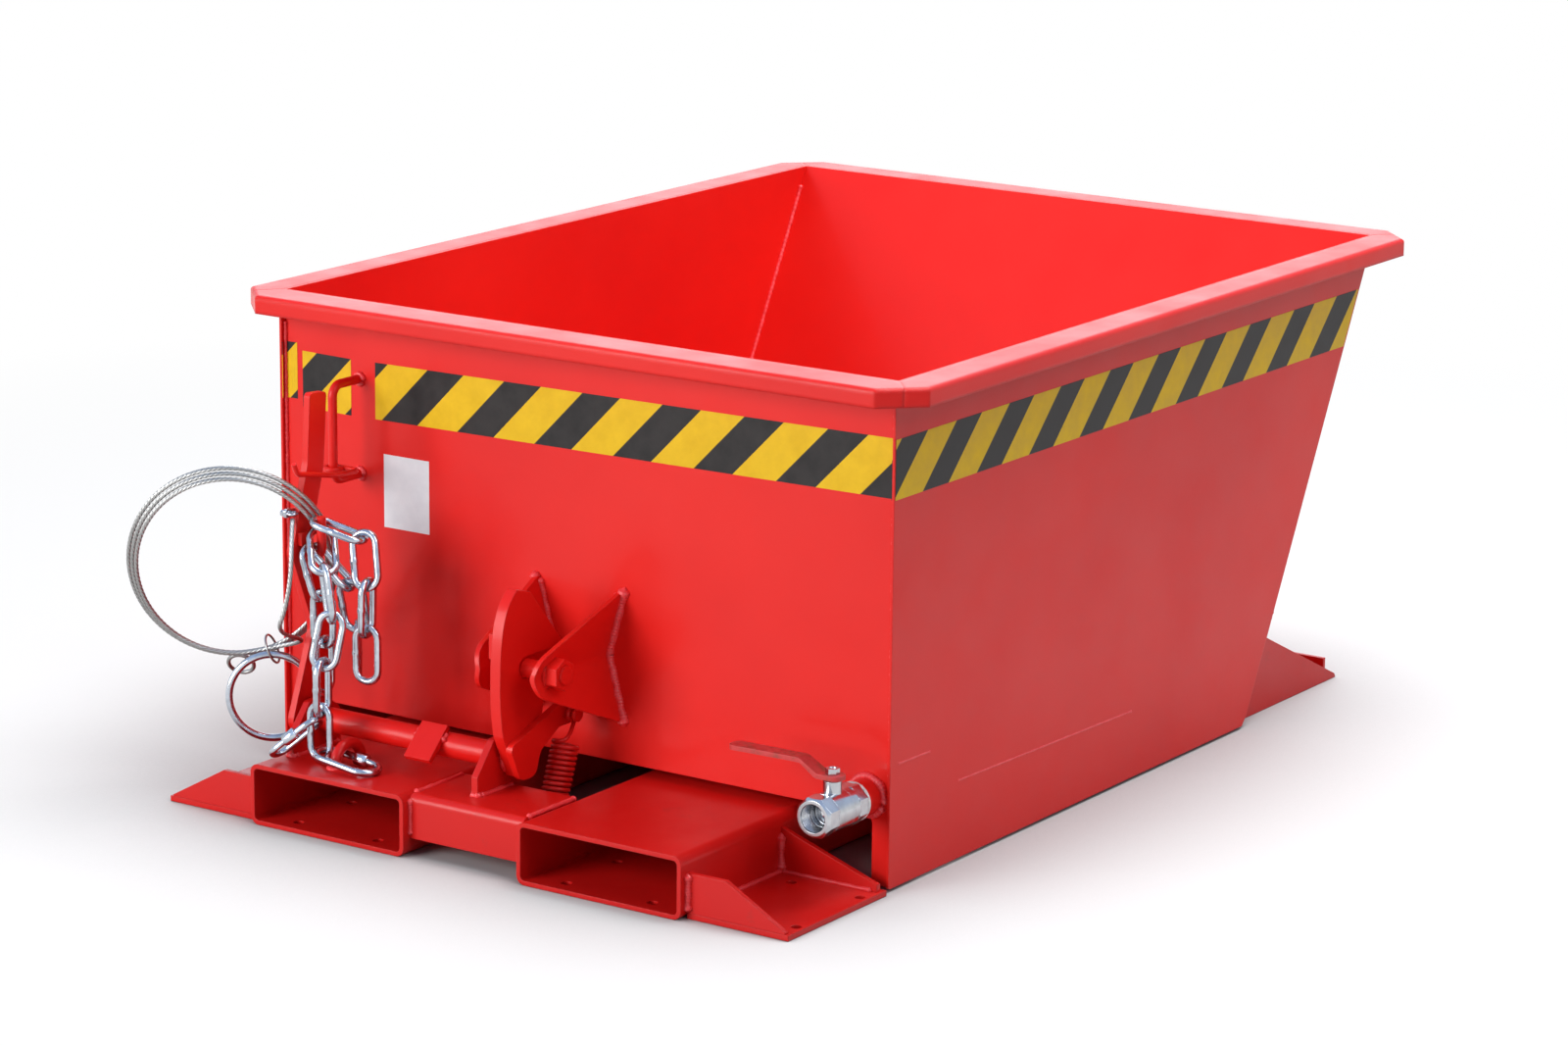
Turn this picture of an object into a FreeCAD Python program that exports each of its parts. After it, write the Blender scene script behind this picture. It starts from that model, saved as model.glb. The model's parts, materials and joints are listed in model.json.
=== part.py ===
import FreeCAD, Part
import math
import os

# Tipping skip on a fork frame. Millimetres, +Z up, X along the fork entry side,
# +Y towards the pouring end. Shapes are drawn with y = 0 at the pocket mouths and
# moved at the end so that the origin lies under the middle of the whole part.

V = FreeCAD.Vector
X, Y, Z = V(1, 0, 0), V(0, 1, 0), V(0, 0, 1)

# Base frame
pocket_width = 207.0
pocket_height = 67.0
pocket_wall = 5.0
pocket_corner = 10.0
pocket_gap = 148.0
pocket_end_gap = 9.8
pocket_hole_dx = 108.0
pocket_hole_dy = 88.0
pocket_hole_y = 64.0
base_setback = 11.0
cross_angle_depth = 93.0
cross_angle_height = 48.0
cross_angle_plate = 6.0
castor_plate = 6.0
castor_plate_depth = 179.0
castor_plate_overhang = 4.0
castor_hole_margin = 19.5
rear_plate_tuck = 19.0
castor_hole_dy = 116.0
bolt_hole = 11.0
gusset_plate = 6.0
gusset_height = 48.0
cross_tube = 48.0
cross_tube_height = 50.0
cross_tube_wall = 4.0
bracket_plate = 8.0
bracket_inset = 18.0
bracket_slope = 25.2
bracket_nose = 19.5
bracket_foot = 109.8
rear_bar_height = 25.0
rear_bar_plate = 5.0

# Container
container_width = 800.0
container_height = 534.0
side_sheet = 3.0
wall_sheet = 3.0
floor_rise = 10.5
front_edge_y = 199.5
wall_setback = 6.5
mouth_length = 1020.5
slope_angle = 62.4
skirt_gap = 3.0
skirt_toe = 11.5
wall_leg = 22.0
rim_width = 40.0
rim_height = 20.0
rim_sheet = 3.0
rim_chamfer = 40.0
rim_round = 4.5
bearer_width = 60.0

# Tipping hinge
hinge_offset = 20.6
hinge_drop = 2.5
hinge_pin = 20.0
lug_plate = 10.0
lug_radius = 18.0
hinge_clearance = 0.06

# Catch on the container
catch_x = 2.5
catch_reach = 101.0
catch_z = 196.0
catch_pin = 20.0
ear_sheet = 6.0
ear_apex = 32.0
ear_splay = 21.0
ear_height = 146.0
ear_nose = 30.0
staple_drop = 86.0
staple_height = 105.0

# Release gear
shaft_dia = 27.0
shaft_y = 96.0
shaft_rise = 31.0
shaft_clearance = 0.08
shaft_left_x = -270.0
latch_left_x = -6.0
latch_plate_thickness = 13.0
lever_thickness = 8.0
arm_thickness = 8.0
bearing_plate = 8.0
tooth_thickness = 12.0
pedal_width = 34.0
pedal_x = -104.0

# Return spring
spring_wire = 4.5
spring_dia = 31.0
spring_turns = 11
spring_pitch = 5.6
anchor_dia = 12.0
anchor_y = 126.0
anchor_z = 24.0

# Rope, ring and chain
rope_dia = 5.0
coil_wide = 106.0
coil_tall = 124.0
coil_turns = 3
ring_dia = 102.0
ring_wire = 8.0
link_wire = 8.0
link_pitch = 52.0
link_width = 28.0
peg_dia = 10.0

# Drain valve
drain_inset = 31.0
drain_z = 97.5
socket_length = 26.0
seal_thickness = 4.0
valve_length = 71.5
valve_across = 41.0
valve_bore = 25.0
outlet_thread = 30.2
outlet_depth = 16.5
handle_length = 124.0
handle_plate = 5.0

# Derived places
half = container_width / 2
drain_x = half - drain_inset
wall_y = front_edge_y + wall_setback
inner_y = wall_y + wall_sheet
floor_z = pocket_height + floor_rise
slope_run = 1 / math.tan(math.radians(slope_angle))
slope_x = wall_sheet / math.sin(math.radians(slope_angle))
overall_length = wall_y + mouth_length + rim_width
pocket_in = pocket_gap / 2
pocket_out = pocket_in + pocket_width
pocket_mid = (pocket_in + pocket_out) / 2
shaft_z = pocket_height + shaft_rise
hinge_z = floor_z - hinge_drop
catch_y = wall_y - catch_reach
bracket_x = half - bracket_inset
lever_x = shaft_left_x


def slope_y(z):
    return wall_y + mouth_length - (container_height - z) * slope_run


hinge_y = slope_y(hinge_z) + hinge_offset / math.sin(math.radians(slope_angle))
pocket_length = hinge_y - pocket_end_gap
bracket_foot_y = hinge_y - bracket_foot
nose_a = math.radians(bracket_slope)
nose_top = (hinge_y + bracket_nose * math.sin(nose_a), hinge_z + bracket_nose * math.cos(nose_a))
bracket_tip = nose_top[0] + (nose_top[1] - 5.0) / math.tan(nose_a)


# Plain shapes
def box(x0, x1, y0, y1, z0, z1):
    return Part.makeBox(x1 - x0, y1 - y0, z1 - z0, V(x0, y0, z0))


def rod(start, end, dia):
    way = end - start
    return Part.makeCylinder(dia / 2, way.Length, start, way)


def joined(shapes):
    whole = shapes[0]
    for shape in shapes[1:]:
        whole = whole.fuse(shape)
    return whole.removeSplitter()


def corner(before, point, after, radius):
    # Tangent points and middle of the arc that rounds a corner
    a = (before - point).normalize()
    b = (after - point).normalize()
    turn = a.getAngle(b)
    reach = radius / math.tan(turn / 2)
    middle = (a + b).normalize()
    return point + a * reach, point + middle * (radius / math.sin(turn / 2) - radius), point + b * reach


def loop(points):
    # Closed outline from vectors or (vector, radius) pairs
    pairs = [p if isinstance(p, tuple) else (p, 0.0) for p in points]
    count = len(pairs)
    stops = []
    for i, (point, radius) in enumerate(pairs):
        if radius > 0:
            stops.append(corner(pairs[i - 1][0], point, pairs[(i + 1) % count][0], radius))
        else:
            stops.append((point, None, point))
    edges = []
    for i, (first, middle, last) in enumerate(stops):
        if middle is not None:
            edges.append(Part.Arc(first, middle, last).toShape())
        follower = stops[(i + 1) % count][0]
        if (follower - last).Length > 1e-6:
            edges.append(Part.LineSegment(last, follower).toShape())
    return Part.Wire(edges)


def plate_yz(points, x0, x1):
    pairs = [(V(x0, p[0], p[1]), p[2] if len(p) > 2 else 0.0) for p in points]
    return Part.Face(loop(pairs)).extrude(V(x1 - x0, 0, 0))


def plate_xz(points, y0, y1):
    pairs = [(V(p[0], y0, p[1]), p[2] if len(p) > 2 else 0.0) for p in points]
    return Part.Face(loop(pairs)).extrude(V(0, y1 - y0, 0))


def plate_xy(points, z0, z1):
    pairs = [(V(p[0], p[1], z0), p[2] if len(p) > 2 else 0.0) for p in points]
    return Part.Face(loop(pairs)).extrude(V(0, 0, z1 - z0))


def sweep(edges, dia):
    # Round bar along a chain of tangent edges
    path = Part.Wire(edges)
    first = edges[0]
    start = first.valueAt(first.FirstParameter)
    way = first.tangentAt(first.FirstParameter)
    ring = Part.Wire(Part.Circle(start, way, dia / 2).toShape())
    return path.makePipeShell([ring], True, False)


def bent_edges(points, radius):
    edges = []
    last = points[0]
    for i in range(1, len(points) - 1):
        first, middle, final = corner(points[i - 1], points[i], points[i + 1], radius)
        if (first - last).Length > 1e-6:
            edges.append(Part.LineSegment(last, first).toShape())
        edges.append(Part.Arc(first, middle, final).toShape())
        last = final
    edges.append(Part.LineSegment(last, points[-1]).toShape())
    return edges


def bent_bar(points, dia, radius):
    return sweep(bent_edges(points, radius), dia)


def arc_from(start, way, end):
    # Arc that leaves start along way and reaches end
    chord = end - start
    along = V(chord).normalize()
    side = way - along * way.dot(along)
    if side.Length < 1e-6:
        return Part.LineSegment(start, end).toShape()
    angle = way.getAngle(chord)
    side.normalize()
    middle = (start + end) * 0.5 + side * (chord.Length / 2 * math.tan(angle / 2))
    return Part.Arc(start, middle, end).toShape()


def biarc(p0, t0, p1, t1):
    # Two tangent arcs between two points with given directions
    chord = p1 - p0
    both = t0 + t1
    a = 2 * (1 - t0.dot(t1))
    b = chord.dot(both)
    if a < 1e-9:
        d = chord.dot(chord) / (2 * b)
    else:
        d = (-b + math.sqrt(b * b + a * chord.dot(chord))) / a
    middle = (p0 + p1) * 0.5 + (t0 - t1) * (d / 2)
    way = ((p1 - t1 * d) - (p0 + t0 * d)).normalize()
    return [arc_from(p0, t0, middle), arc_from(middle, way, p1)]


def through(points, ways):
    edges = []
    for i in range(len(points) - 1):
        edges += biarc(points[i], ways[i], points[i + 1], ways[i + 1])
    return edges


def self_gap(edges, dia, apart):
    # Least gap between stretches of one tube that lie further apart along it
    points = []
    for edge in edges:
        points += edge.discretize(Distance=max(1.0, edge.Length / 12))[:-1]
    run = [0.0]
    for i in range(1, len(points)):
        run.append(run[-1] + (points[i] - points[i - 1]).Length)
    least = 1e9
    for i in range(len(points)):
        for j in range(i + 1, len(points)):
            if run[j] - run[i] > apart:
                least = min(least, (points[j] - points[i]).Length)
    return least - dia


def hexagon(centre, axis, across, length, sides=6):
    # Six-sided or eight-sided prism along X, Y or Z
    r = across / 2 / math.cos(math.pi / sides)
    a, b = (Y, Z) if axis == X else (X, Z) if axis == Y else (X, Y)
    turn = [2 * math.pi / sides * (i + 0.5) for i in range(sides)]
    corners = [centre + a * (r * math.cos(t)) + b * (r * math.sin(t)) for t in turn]
    return Part.Face(loop(corners)).extrude(axis * length)


def mirrored(shape):
    return shape.mirror(V(0, 0, 0), X)


# Base frame
def fork_pocket():
    def section(grow):
        r = pocket_corner + grow
        x0, x1 = pocket_in - grow, pocket_out + grow
        z0, z1 = -grow, pocket_height + grow
        return [(x0, z0, r), (x1, z0, r), (x1, z1, r), (x0, z1, r)]
    tube = plate_xz(section(0), 0, pocket_length)
    tube = tube.cut(plate_xz(section(-pocket_wall), -1, pocket_length + 1))
    for dx in (-0.5, 0.5):
        for dy in (-0.5, 0.5):
            place = V(pocket_mid + dx * pocket_hole_dx, pocket_hole_y + dy * pocket_hole_dy, -1)
            tube = tube.cut(Part.makeCylinder(bolt_hole / 2, pocket_wall + 2, place))
    return tube


def front_cross_angle():
    y0, t = base_setback, cross_angle_plate
    y1 = y0 + cross_angle_depth
    z1, z0 = pocket_height, pocket_height - cross_angle_height
    section = [(y0, z0), (y0 + t, z0), (y0 + t, z1 - t, 4), (y1, z1 - t), (y1, z1), (y0, z1, 9)]
    return plate_yz(section, -pocket_in, pocket_in)


def bolt_holes(plate, x, y, dx, dy, thick):
    for sx in (-0.5, 0.5):
        for sy in (-0.5, 0.5):
            place = V(x + sx * dx, y + sy * dy, -1)
            plate = plate.cut(Part.makeCylinder(bolt_hole / 2, thick + 2, place))
    return plate


front_plate_out = half + castor_plate_overhang
front_plate_end = base_setback + castor_plate_depth
castor_hole_dx = front_plate_out - pocket_out - 2 * castor_hole_margin
front_castor = ((pocket_out + front_plate_out) / 2 + 10, (base_setback + front_plate_end) / 2 - 3.5)
rear_castor = ((pocket_out - rear_plate_tuck + bracket_x - bracket_plate) / 2, bracket_tip - 97.0)


def front_castor_plate():
    flat = [(pocket_out, base_setback), (front_plate_out, base_setback),
            (front_plate_out, front_plate_end), (pocket_out, front_plate_end)]
    plate = plate_xy(flat, 0, castor_plate)
    return bolt_holes(plate, front_castor[0], front_castor[1], castor_hole_dx, castor_hole_dy, castor_plate)


def front_gusset():
    x0, x1, z0 = pocket_out, front_plate_out - 4, castor_plate
    return plate_xz([(x0, z0), (x1, z0), (x1, z0 + 2), (x0 + 47, gusset_height), (x0, gusset_height)],
                    base_setback, base_setback + gusset_plate)


def back_gusset():
    x0, x1, z0 = pocket_out, front_plate_out - 4, castor_plate
    return plate_xz([(x0, z0), (x1, z0), (x1, z0 + 8), (x0, gusset_height + 6)],
                    front_plate_end - 12, front_plate_end - 12 + gusset_plate)


def rear_castor_plate():
    x1 = bracket_x - bracket_plate
    y0, y1 = pocket_length - cross_tube, bracket_tip - 9 - rear_bar_plate
    flat = [(pocket_out, y0), (x1, y0), (x1, y1), (pocket_out - rear_plate_tuck, y1),
            (pocket_out - rear_plate_tuck, pocket_length), (pocket_out, pocket_length)]
    plate = plate_xy(flat, 0, castor_plate)
    return bolt_holes(plate, rear_castor[0], rear_castor[1], castor_hole_dx, castor_hole_dy, castor_plate)


def rear_cross_tubes():
    y0, y1 = pocket_length - cross_tube, pocket_length
    t = cross_tube_wall

    def tube(x0, x1, z0):
        z1 = z0 + cross_tube_height
        outer = box(x0, x1, y0, y1, z0, z1)
        return outer.cut(box(x0 - 1, x1 + 1, y0 + t, y1 - t, z0 + t, z1 - t))
    outside = bracket_x - bracket_plate
    spans = [(-outside, -pocket_out), (-pocket_in, pocket_in), (pocket_out, outside)]
    return Part.Compound([tube(x0, x1, castor_plate) for x0, x1 in spans])


def tipping_bracket():
    # Flat plate with a sloping top, a nose round the pivot and a low foot
    hy, hz, r = hinge_y, hinge_z, bracket_nose
    s = math.radians(slope_angle)
    back = (hy - r * math.sin(s), hz + r * math.cos(s))
    low = castor_plate + cross_tube_height
    down = (back[0] - (back[1] - low) * slope_run, low)
    top = V(0, hy, hz + r)
    points = [V(0, bracket_foot_y, 0), V(0, bracket_tip + 3, 0), V(0, bracket_tip, 5), V(0, *nose_top)]
    edges = [Part.LineSegment(points[i], points[i + 1]).toShape() for i in range(3)]
    edges.append(Part.Arc(points[3], top, V(0, *back)).toShape())
    rest = [V(0, *back), V(0, *down), V(0, bracket_foot_y + 30, low), V(0, bracket_foot_y, 25), points[0]]
    edges += [Part.LineSegment(rest[i], rest[i + 1]).toShape() for i in range(4)]
    plate = Part.Face(Part.Wire(edges)).extrude(V(bracket_plate, 0, 0))
    plate.translate(V(bracket_x - bracket_plate, 0, 0))
    return plate.cut(rod(V(bracket_x - 20, hy, hz), V(bracket_x + 5, hy, hz), hinge_pin + 0.04))


def hinge_pin_solid():
    x1 = bracket_x
    lug_out = x1 - bracket_plate - 8
    pin = rod(V(lug_out - lug_plate - 4, hinge_y, hinge_z), V(x1, hinge_y, hinge_z), hinge_pin)
    collar = rod(V(lug_out + 0.5, hinge_y, hinge_z), V(x1 - bracket_plate, hinge_y, hinge_z), hinge_pin + 10)
    return pin.fuse(collar).removeSplitter()


def rear_cross_bar():
    y1 = bracket_tip - 9
    x1 = bracket_x - bracket_plate
    return box(-x1, x1, y1 - rear_bar_plate, y1, 0, rear_bar_height)


def shaft_bearing(x0):
    y, z, p = shaft_y, shaft_z, pocket_height
    flat = [(y - 53, p), (y - 53, p + 21), (y - 25, p + 55, 6), (y - 2, p + 57, 12),
            (y + 26, p + 40, 12), (y + 26, p)]
    plate = plate_yz(flat, x0, x0 + bearing_plate)
    hole = shaft_dia + 2 * shaft_clearance
    return plate.cut(rod(V(x0 - 5, y, z), V(x0 + bearing_plate + 5, y, z), hole))


eye_x, eye_y, eye_r, eye_dia = -195.0, 58.5, 22.0, 12.0


def chain_eye():
    z = pocket_height
    ends = [V(eye_x, eye_y - eye_r, z), V(eye_x, eye_y - eye_r, z + 1)]
    far = [V(eye_x, eye_y + eye_r, z + 1), V(eye_x, eye_y + eye_r, z)]
    edges = [Part.LineSegment(*ends).toShape(),
             Part.Arc(ends[1], V(eye_x, eye_y, z + 1 + eye_r), far[0]).toShape(),
             Part.LineSegment(*far).toShape()]
    return sweep(edges, eye_dia)


def spring_anchor():
    return rod(V(-pocket_in, anchor_y, anchor_z), V(pocket_in, anchor_y, anchor_z), anchor_dia)


# Container
def side_plate():
    top = container_height
    toe = skirt_gap + skirt_toe
    under = container_height - rim_height
    flat = [(front_edge_y, skirt_gap, 3), (slope_y(toe) - 10, skirt_gap), (slope_y(toe), toe),
            (slope_y(top), top), (wall_y, top), (wall_y, under), (front_edge_y, under)]
    return plate_yz(flat, half - side_sheet, half)


def front_wall():
    x = half - side_sheet
    leg = x - wall_leg
    flat = [(-x, skirt_gap), (-leg, skirt_gap), (-leg, floor_z, 10), (leg, floor_z, 10), (leg, skirt_gap),
            (x, skirt_gap), (x, container_height), (-x, container_height)]
    wall = plate_xz(flat, wall_y, inner_y)
    return wall.cut(rod(V(drain_x, wall_y - 1, drain_z), V(drain_x, inner_y + 1, drain_z), valve_bore))


def sloping_wall():
    x = half - side_sheet
    low, top = floor_z, container_height
    near, far = slope_y(low), slope_y(top)
    flat = [(near - slope_x, low), (near, low), (far, top), (far - slope_x, top)]
    return plate_yz(flat, -x, x)


def floor_plate():
    x = half - side_sheet
    z0, z1 = floor_z, floor_z + wall_sheet
    flat = [(inner_y, z0), (slope_y(z0) - slope_x, z0), (slope_y(z1) - slope_x, z1), (inner_y, z1)]
    return plate_yz(flat, -x, x)


def floor_bearers():
    z0 = pocket_height + 0.3
    y0, y1 = inner_y + 50, pocket_length - cross_tube - 20
    strips = []
    for side in (-1, 1):
        x = side * pocket_mid
        strips.append(box(x - bearer_width / 2, x + bearer_width / 2, y0, y1, z0, floor_z))
    return Part.Compound(strips)


def rim_parts():
    top, low = container_height, container_height - rim_height
    x1 = half + rim_width
    y0, y1 = wall_y - rim_width - wall_setback, overall_length

    def ring(inset, z0, z1):
        c = rim_chamfer - inset * (2 - math.sqrt(2))
        a0, a1 = y0 + inset, y1 - inset
        b = x1 - inset
        flat = [(-b + c, a0), (b - c, a0), (b, a0 + c), (b, a1 - c), (b - c, a1), (-b + c, a1), (-b, a1 - c),
                (-b, a0 + c)]
        return plate_xy(flat, z0, z1)
    hull = plate_yz([(wall_y, low - 5), (slope_y(low - 5), low - 5), (slope_y(top + 5), top + 5),
                     (wall_y, top + 5)], -half, half)
    outer = ring(0, low, top)
    crown = [e for e in outer.Edges if all(abs(v.Z - top) < 0.01 for v in e.Vertexes)]
    whole = outer.makeFillet(rim_round, crown).cut(hull).cut(ring(rim_sheet, low - 2, top - rim_sheet))
    far = slope_y(top)

    def wedge(corners):
        return whole.common(plate_xy(corners, low - 10, top + 10))
    dx, d0, d1 = 2 * rim_width, 2 * (wall_y - y0), 2 * (y1 - far)
    inner_far = slope_y(low) - 2
    front = wedge([(-half, wall_y), (half, wall_y), (half + dx, wall_y - d0), (-half - dx, wall_y - d0)])
    rear = wedge([(-half, inner_far), (-half, far), (-half - dx, far + d1), (half + dx, far + d1),
                  (half, far), (half, inner_far)])
    right = wedge([(half, wall_y), (half, far), (half + dx, far + d1), (half + dx, wall_y - d0)])
    return front, rear, right, mirrored(right)


def latch_ear():
    # Plate folded to a shallow V, its fold towards the catch
    a, s, h, t = catch_x + ear_apex, ear_splay, ear_height / 2, ear_sheet
    z = catch_z - 2
    fold = [(a + s, z + h), (a, z, 8), (a + s, z - h), (a + s + t, z - h), (a + t, z, 14), (a + s + t, z + h)]
    sheet = plate_xz(fold, catch_y - 60, wall_y)
    r = ear_nose
    nose = catch_y - r
    side = plate_yz([(wall_y, z + h), (nose, z + 18, r - 4), (nose, z - 18, r - 4), (wall_y, z - h)],
                    a - 50, a + s + t + 50)
    ear = sheet.common(side)
    return ear.cut(rod(V(a - 60, catch_y, catch_z), V(a + 60, catch_y, catch_z), catch_pin + 0.04))


def across_catch(shape):
    return shape.mirror(V(catch_x, 0, 0), X)


catch_gap = 1.0
ear_in = catch_x + ear_apex


def catch_stud_right():
    x0 = latch_left_x + latch_plate_thickness + catch_gap
    x1 = ear_in + ear_sheet + 20
    return rod(V(x0, catch_y, catch_z), V(x1, catch_y, catch_z), catch_pin)


def catch_stud_left():
    x0 = 2 * catch_x - ear_in - ear_sheet - 6
    x1 = latch_left_x - catch_gap
    return rod(V(x0, catch_y, catch_z), V(x1, catch_y, catch_z), catch_pin)


def catch_nut():
    # Washer and hexagon nut outside the right ear
    x0 = ear_in + ear_sheet + 0.6
    start = V(x0, catch_y, catch_z)
    washer = rod(start, start + X * 3, 37)
    nut = hexagon(start + X * 3, X, 30, 14)
    bore = rod(start - X * 5, start + X * 30, catch_pin + 0.04)
    both = joined([washer, nut]).cut(bore)
    return both.cut(latch_ear())


staple_x, staple_y, staple_dia = -294.0, 160.0, 10.0
staple_top = container_height - staple_drop
staple_low = staple_top - staple_height


def lever_guide():
    points = [V(staple_x, wall_y, staple_top), V(staple_x, staple_y, staple_top),
              V(staple_x, staple_y, staple_low), V(staple_x, wall_y, staple_low)]
    return bent_bar(points, staple_dia, 13)


hook_wire = 6.0
hook_z = staple_low + 14


def safety_hook():
    # Eye round the guide loop, shank behind the lever and then along its right face
    turn = staple_dia / 2 + 0.6 + hook_wire / 2
    z = hook_z
    eye = Part.makeTorus(turn, hook_wire / 2, V(staple_x, staple_y, z), Z)
    side = lever_x + hook_wire / 2 + 1.6
    points = [V(staple_x, staple_y + turn, z), V(side, staple_y + turn, z), V(side, staple_y - 30, z + 2),
              V(side, 66, z + 15), V(side, 60, z + 27)]
    shank = bent_bar(points, hook_wire, 8)
    return eye.fuse(shank).removeSplitter()


def hinge_lug():
    x1 = bracket_x - bracket_plate - 8
    hy, hz, r = hinge_y, hinge_z, lug_radius
    low, high = floor_z + 2.5, floor_z + 50
    s = math.radians(slope_angle)
    tip = (hy + r * math.sin(s - 0.5), hz + r * math.cos(s - 0.5))
    foot = (hy - r * 0.80, hz - r * 0.60)
    web = plate_yz([(slope_y(low), low), (slope_y(high), high), tip, foot], x1 - lug_plate, x1)
    boss = rod(V(x1 - lug_plate, hy, hz), V(x1, hy, hz), 2 * r)
    lug = joined([web, boss])
    hole = hinge_pin + 2 * hinge_clearance
    return lug.cut(rod(V(x1 - 30, hy, hz), V(x1 + 10, hy, hz), hole))


# Drain valve
socket_y = wall_y - socket_length
seal_y = socket_y - seal_thickness
outlet_y = seal_y - valve_length
stem_y = (seal_y + outlet_y) / 2
ball_r = 18.0


def drain_socket():
    ring = rod(V(drain_x, socket_y, drain_z), V(drain_x, wall_y, drain_z), 38)
    return ring.cut(rod(V(drain_x, socket_y - 1, drain_z), V(drain_x, wall_y + 1, drain_z), valve_bore))


def valve_seal():
    ring = rod(V(drain_x, seal_y, drain_z), V(drain_x, socket_y, drain_z), 42)
    return ring.cut(rod(V(drain_x, seal_y - 1, drain_z), V(drain_x, socket_y + 1, drain_z), valve_bore + 4))


def valve_bodies():
    x, z = drain_x, drain_z
    mouth = valve_across / 2 - 2
    outlet = hexagon(V(x, outlet_y, z), Y, valve_across, 19, 8)
    outlet = outlet.common(Part.makeCone(mouth, mouth + 19, 19, V(x, outlet_y, z), Y))
    inlet = hexagon(V(x, seal_y - 14, z), Y, valve_across, 14, 8)
    barrel = rod(V(x, outlet_y + 19, z), V(x, seal_y - 14, z), valve_across + 1)
    bonnet = rod(V(x, stem_y, z), V(x, stem_y, z + 32), 19)
    body = joined([outlet, barrel, inlet, bonnet])
    body = body.cut(rod(V(x, outlet_y - 1, z), V(x, seal_y + 1, z), valve_bore))
    body = body.cut(rod(V(x, outlet_y - 1, z), V(x, outlet_y + outlet_depth, z), outlet_thread))
    body = body.cut(Part.makeSphere(ball_r + 0.4, V(x, stem_y, z)))
    body = body.cut(rod(V(x, stem_y, z), V(x, stem_y, z + 40), 8.8))
    split = stem_y + 12
    front = body.common(box(x - 60, x + 60, outlet_y - 5, split, z - 60, z + 60))
    back = body.common(box(x - 60, x + 60, split, seal_y + 5, z - 60, z + 60))
    return front, back


def valve_ball():
    x, z = drain_x, drain_z
    ball = Part.makeSphere(ball_r, V(x, stem_y, z))
    ball = ball.cut(rod(V(x - 40, stem_y, z), V(x + 40, stem_y, z), valve_bore - 1))
    stem = rod(V(x, stem_y, z + ball_r - 3), V(x, stem_y, z + 44), 8)
    return ball.fuse(stem).removeSplitter()


def valve_handle():
    x, z, t = drain_x, drain_z + 38.5 - handle_plate, handle_plate
    end = x - handle_length
    side = plate_xz([(x + 13, z), (x + 13, z + t), (x - 13, z + t, 4), (x - 36, z + 13 + t, 10),
                     (end, z + 12 + t), (end, z + 12), (x - 34, z + 13, 5), (x - 15, z, 8)],
                    stem_y - 12, stem_y + 12)
    flat = plate_xy([(x + 13, stem_y - 11, 9), (x + 13, stem_y + 11, 9), (x - 45, stem_y + 9),
                     (end, stem_y + 10, 8), (end, stem_y - 10, 8), (x - 45, stem_y - 9)], z - 5, z + 30)
    return side.common(flat).cut(rod(V(x, stem_y, z - 5), V(x, stem_y, z + 10), 8.04))


def valve_nut():
    start = V(drain_x, stem_y, drain_z + 38.5)
    return hexagon(start, Z, 13, 6.5).cut(rod(start - Z, start + Z * 12, 8.04))


# Release gear, drawn about the shaft
def at_shaft(points):
    return [(shaft_y + p[0], shaft_z + p[1]) + tuple(p[2:]) for p in points]


def release_shaft():
    return rod(V(lever_x, shaft_y, shaft_z), V(latch_left_x, shaft_y, shaft_z), shaft_dia)


def release_lever():
    front = [(-29, -14, 16), (-38, 2, 14), (-1.5, 100, 16), (-35.5, 186, 16), (-7.5, 280, 40), (-2.5, 356, 5)]
    back = [(25, 354, 5), (19, 274, 40), (-5, 192, 14), (29, 104, 16), (26, 0, 20), (14, -27, 16),
            (-16, -27, 12)]
    outline = front + back
    return plate_yz(at_shaft(outline), lever_x - lever_thickness, lever_x)


def latch_plate():
    y, z = shaft_y, shaft_z
    cy, cz, r = catch_y - y, catch_z - z, catch_pin / 2 + 1.5
    nose = [(-5, 184), (17.5, 178), (75, 111), (68, cz + r), (cy, cz + r)]
    throat = [(cy, cz - r), (44, cz - r - 8), (30, 2), (14, -22), (-8, -17)]
    front = [(-29.5, 30), (-34, 62), (-34.5, 92), (-32, 130), (-25, 159)]

    def spot(p):
        return V(0, y + p[0], z + p[1])
    edges = []
    upper = [spot(p) for p in nose]
    lower = [spot(p) for p in throat]
    left = [spot(p) for p in front]
    curve = Part.BSplineCurve()
    curve.interpolate(left + [upper[0]])
    edges.append(curve.toShape())
    for a, b in zip(upper, upper[1:]):
        edges.append(Part.LineSegment(a, b).toShape())
    edges.append(Part.Arc(upper[-1], spot((cy - r, cz)), lower[0]).toShape())
    for a, b in zip(lower, lower[1:]):
        edges.append(Part.LineSegment(a, b).toShape())
    edges.append(Part.LineSegment(lower[-1], left[0]).toShape())
    plate = Part.Face(Part.Wire(edges)).extrude(V(latch_plate_thickness, 0, 0))
    plate.translate(V(latch_left_x, 0, 0))
    return plate


def latch_tooth():
    # Tooth that closes over the left stud when the lever is let back
    tip = catch_y - catch_pin / 2 - 1
    low = catch_z + catch_pin / 2 + 2
    flat = [(tip - 19, low), (tip, low), (tip, low + 7), (tip - 7, low + 27), (tip - 19, low + 27)]
    return plate_yz(flat, latch_left_x - tooth_thickness, latch_left_x)


arm_hole = (71.0, 36.0)


def spring_arm():
    x0 = latch_left_x + latch_plate_thickness
    outline = [(-28, 20, 8), (62, 50, 10), (86, 44, 10), (84, 24, 8), (56, 24, 10), (24, 5, 12),
               (16, -20, 12), (-10, -20, 12)]
    arm = plate_yz(at_shaft(outline), x0, x0 + arm_thickness)
    return arm


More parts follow.
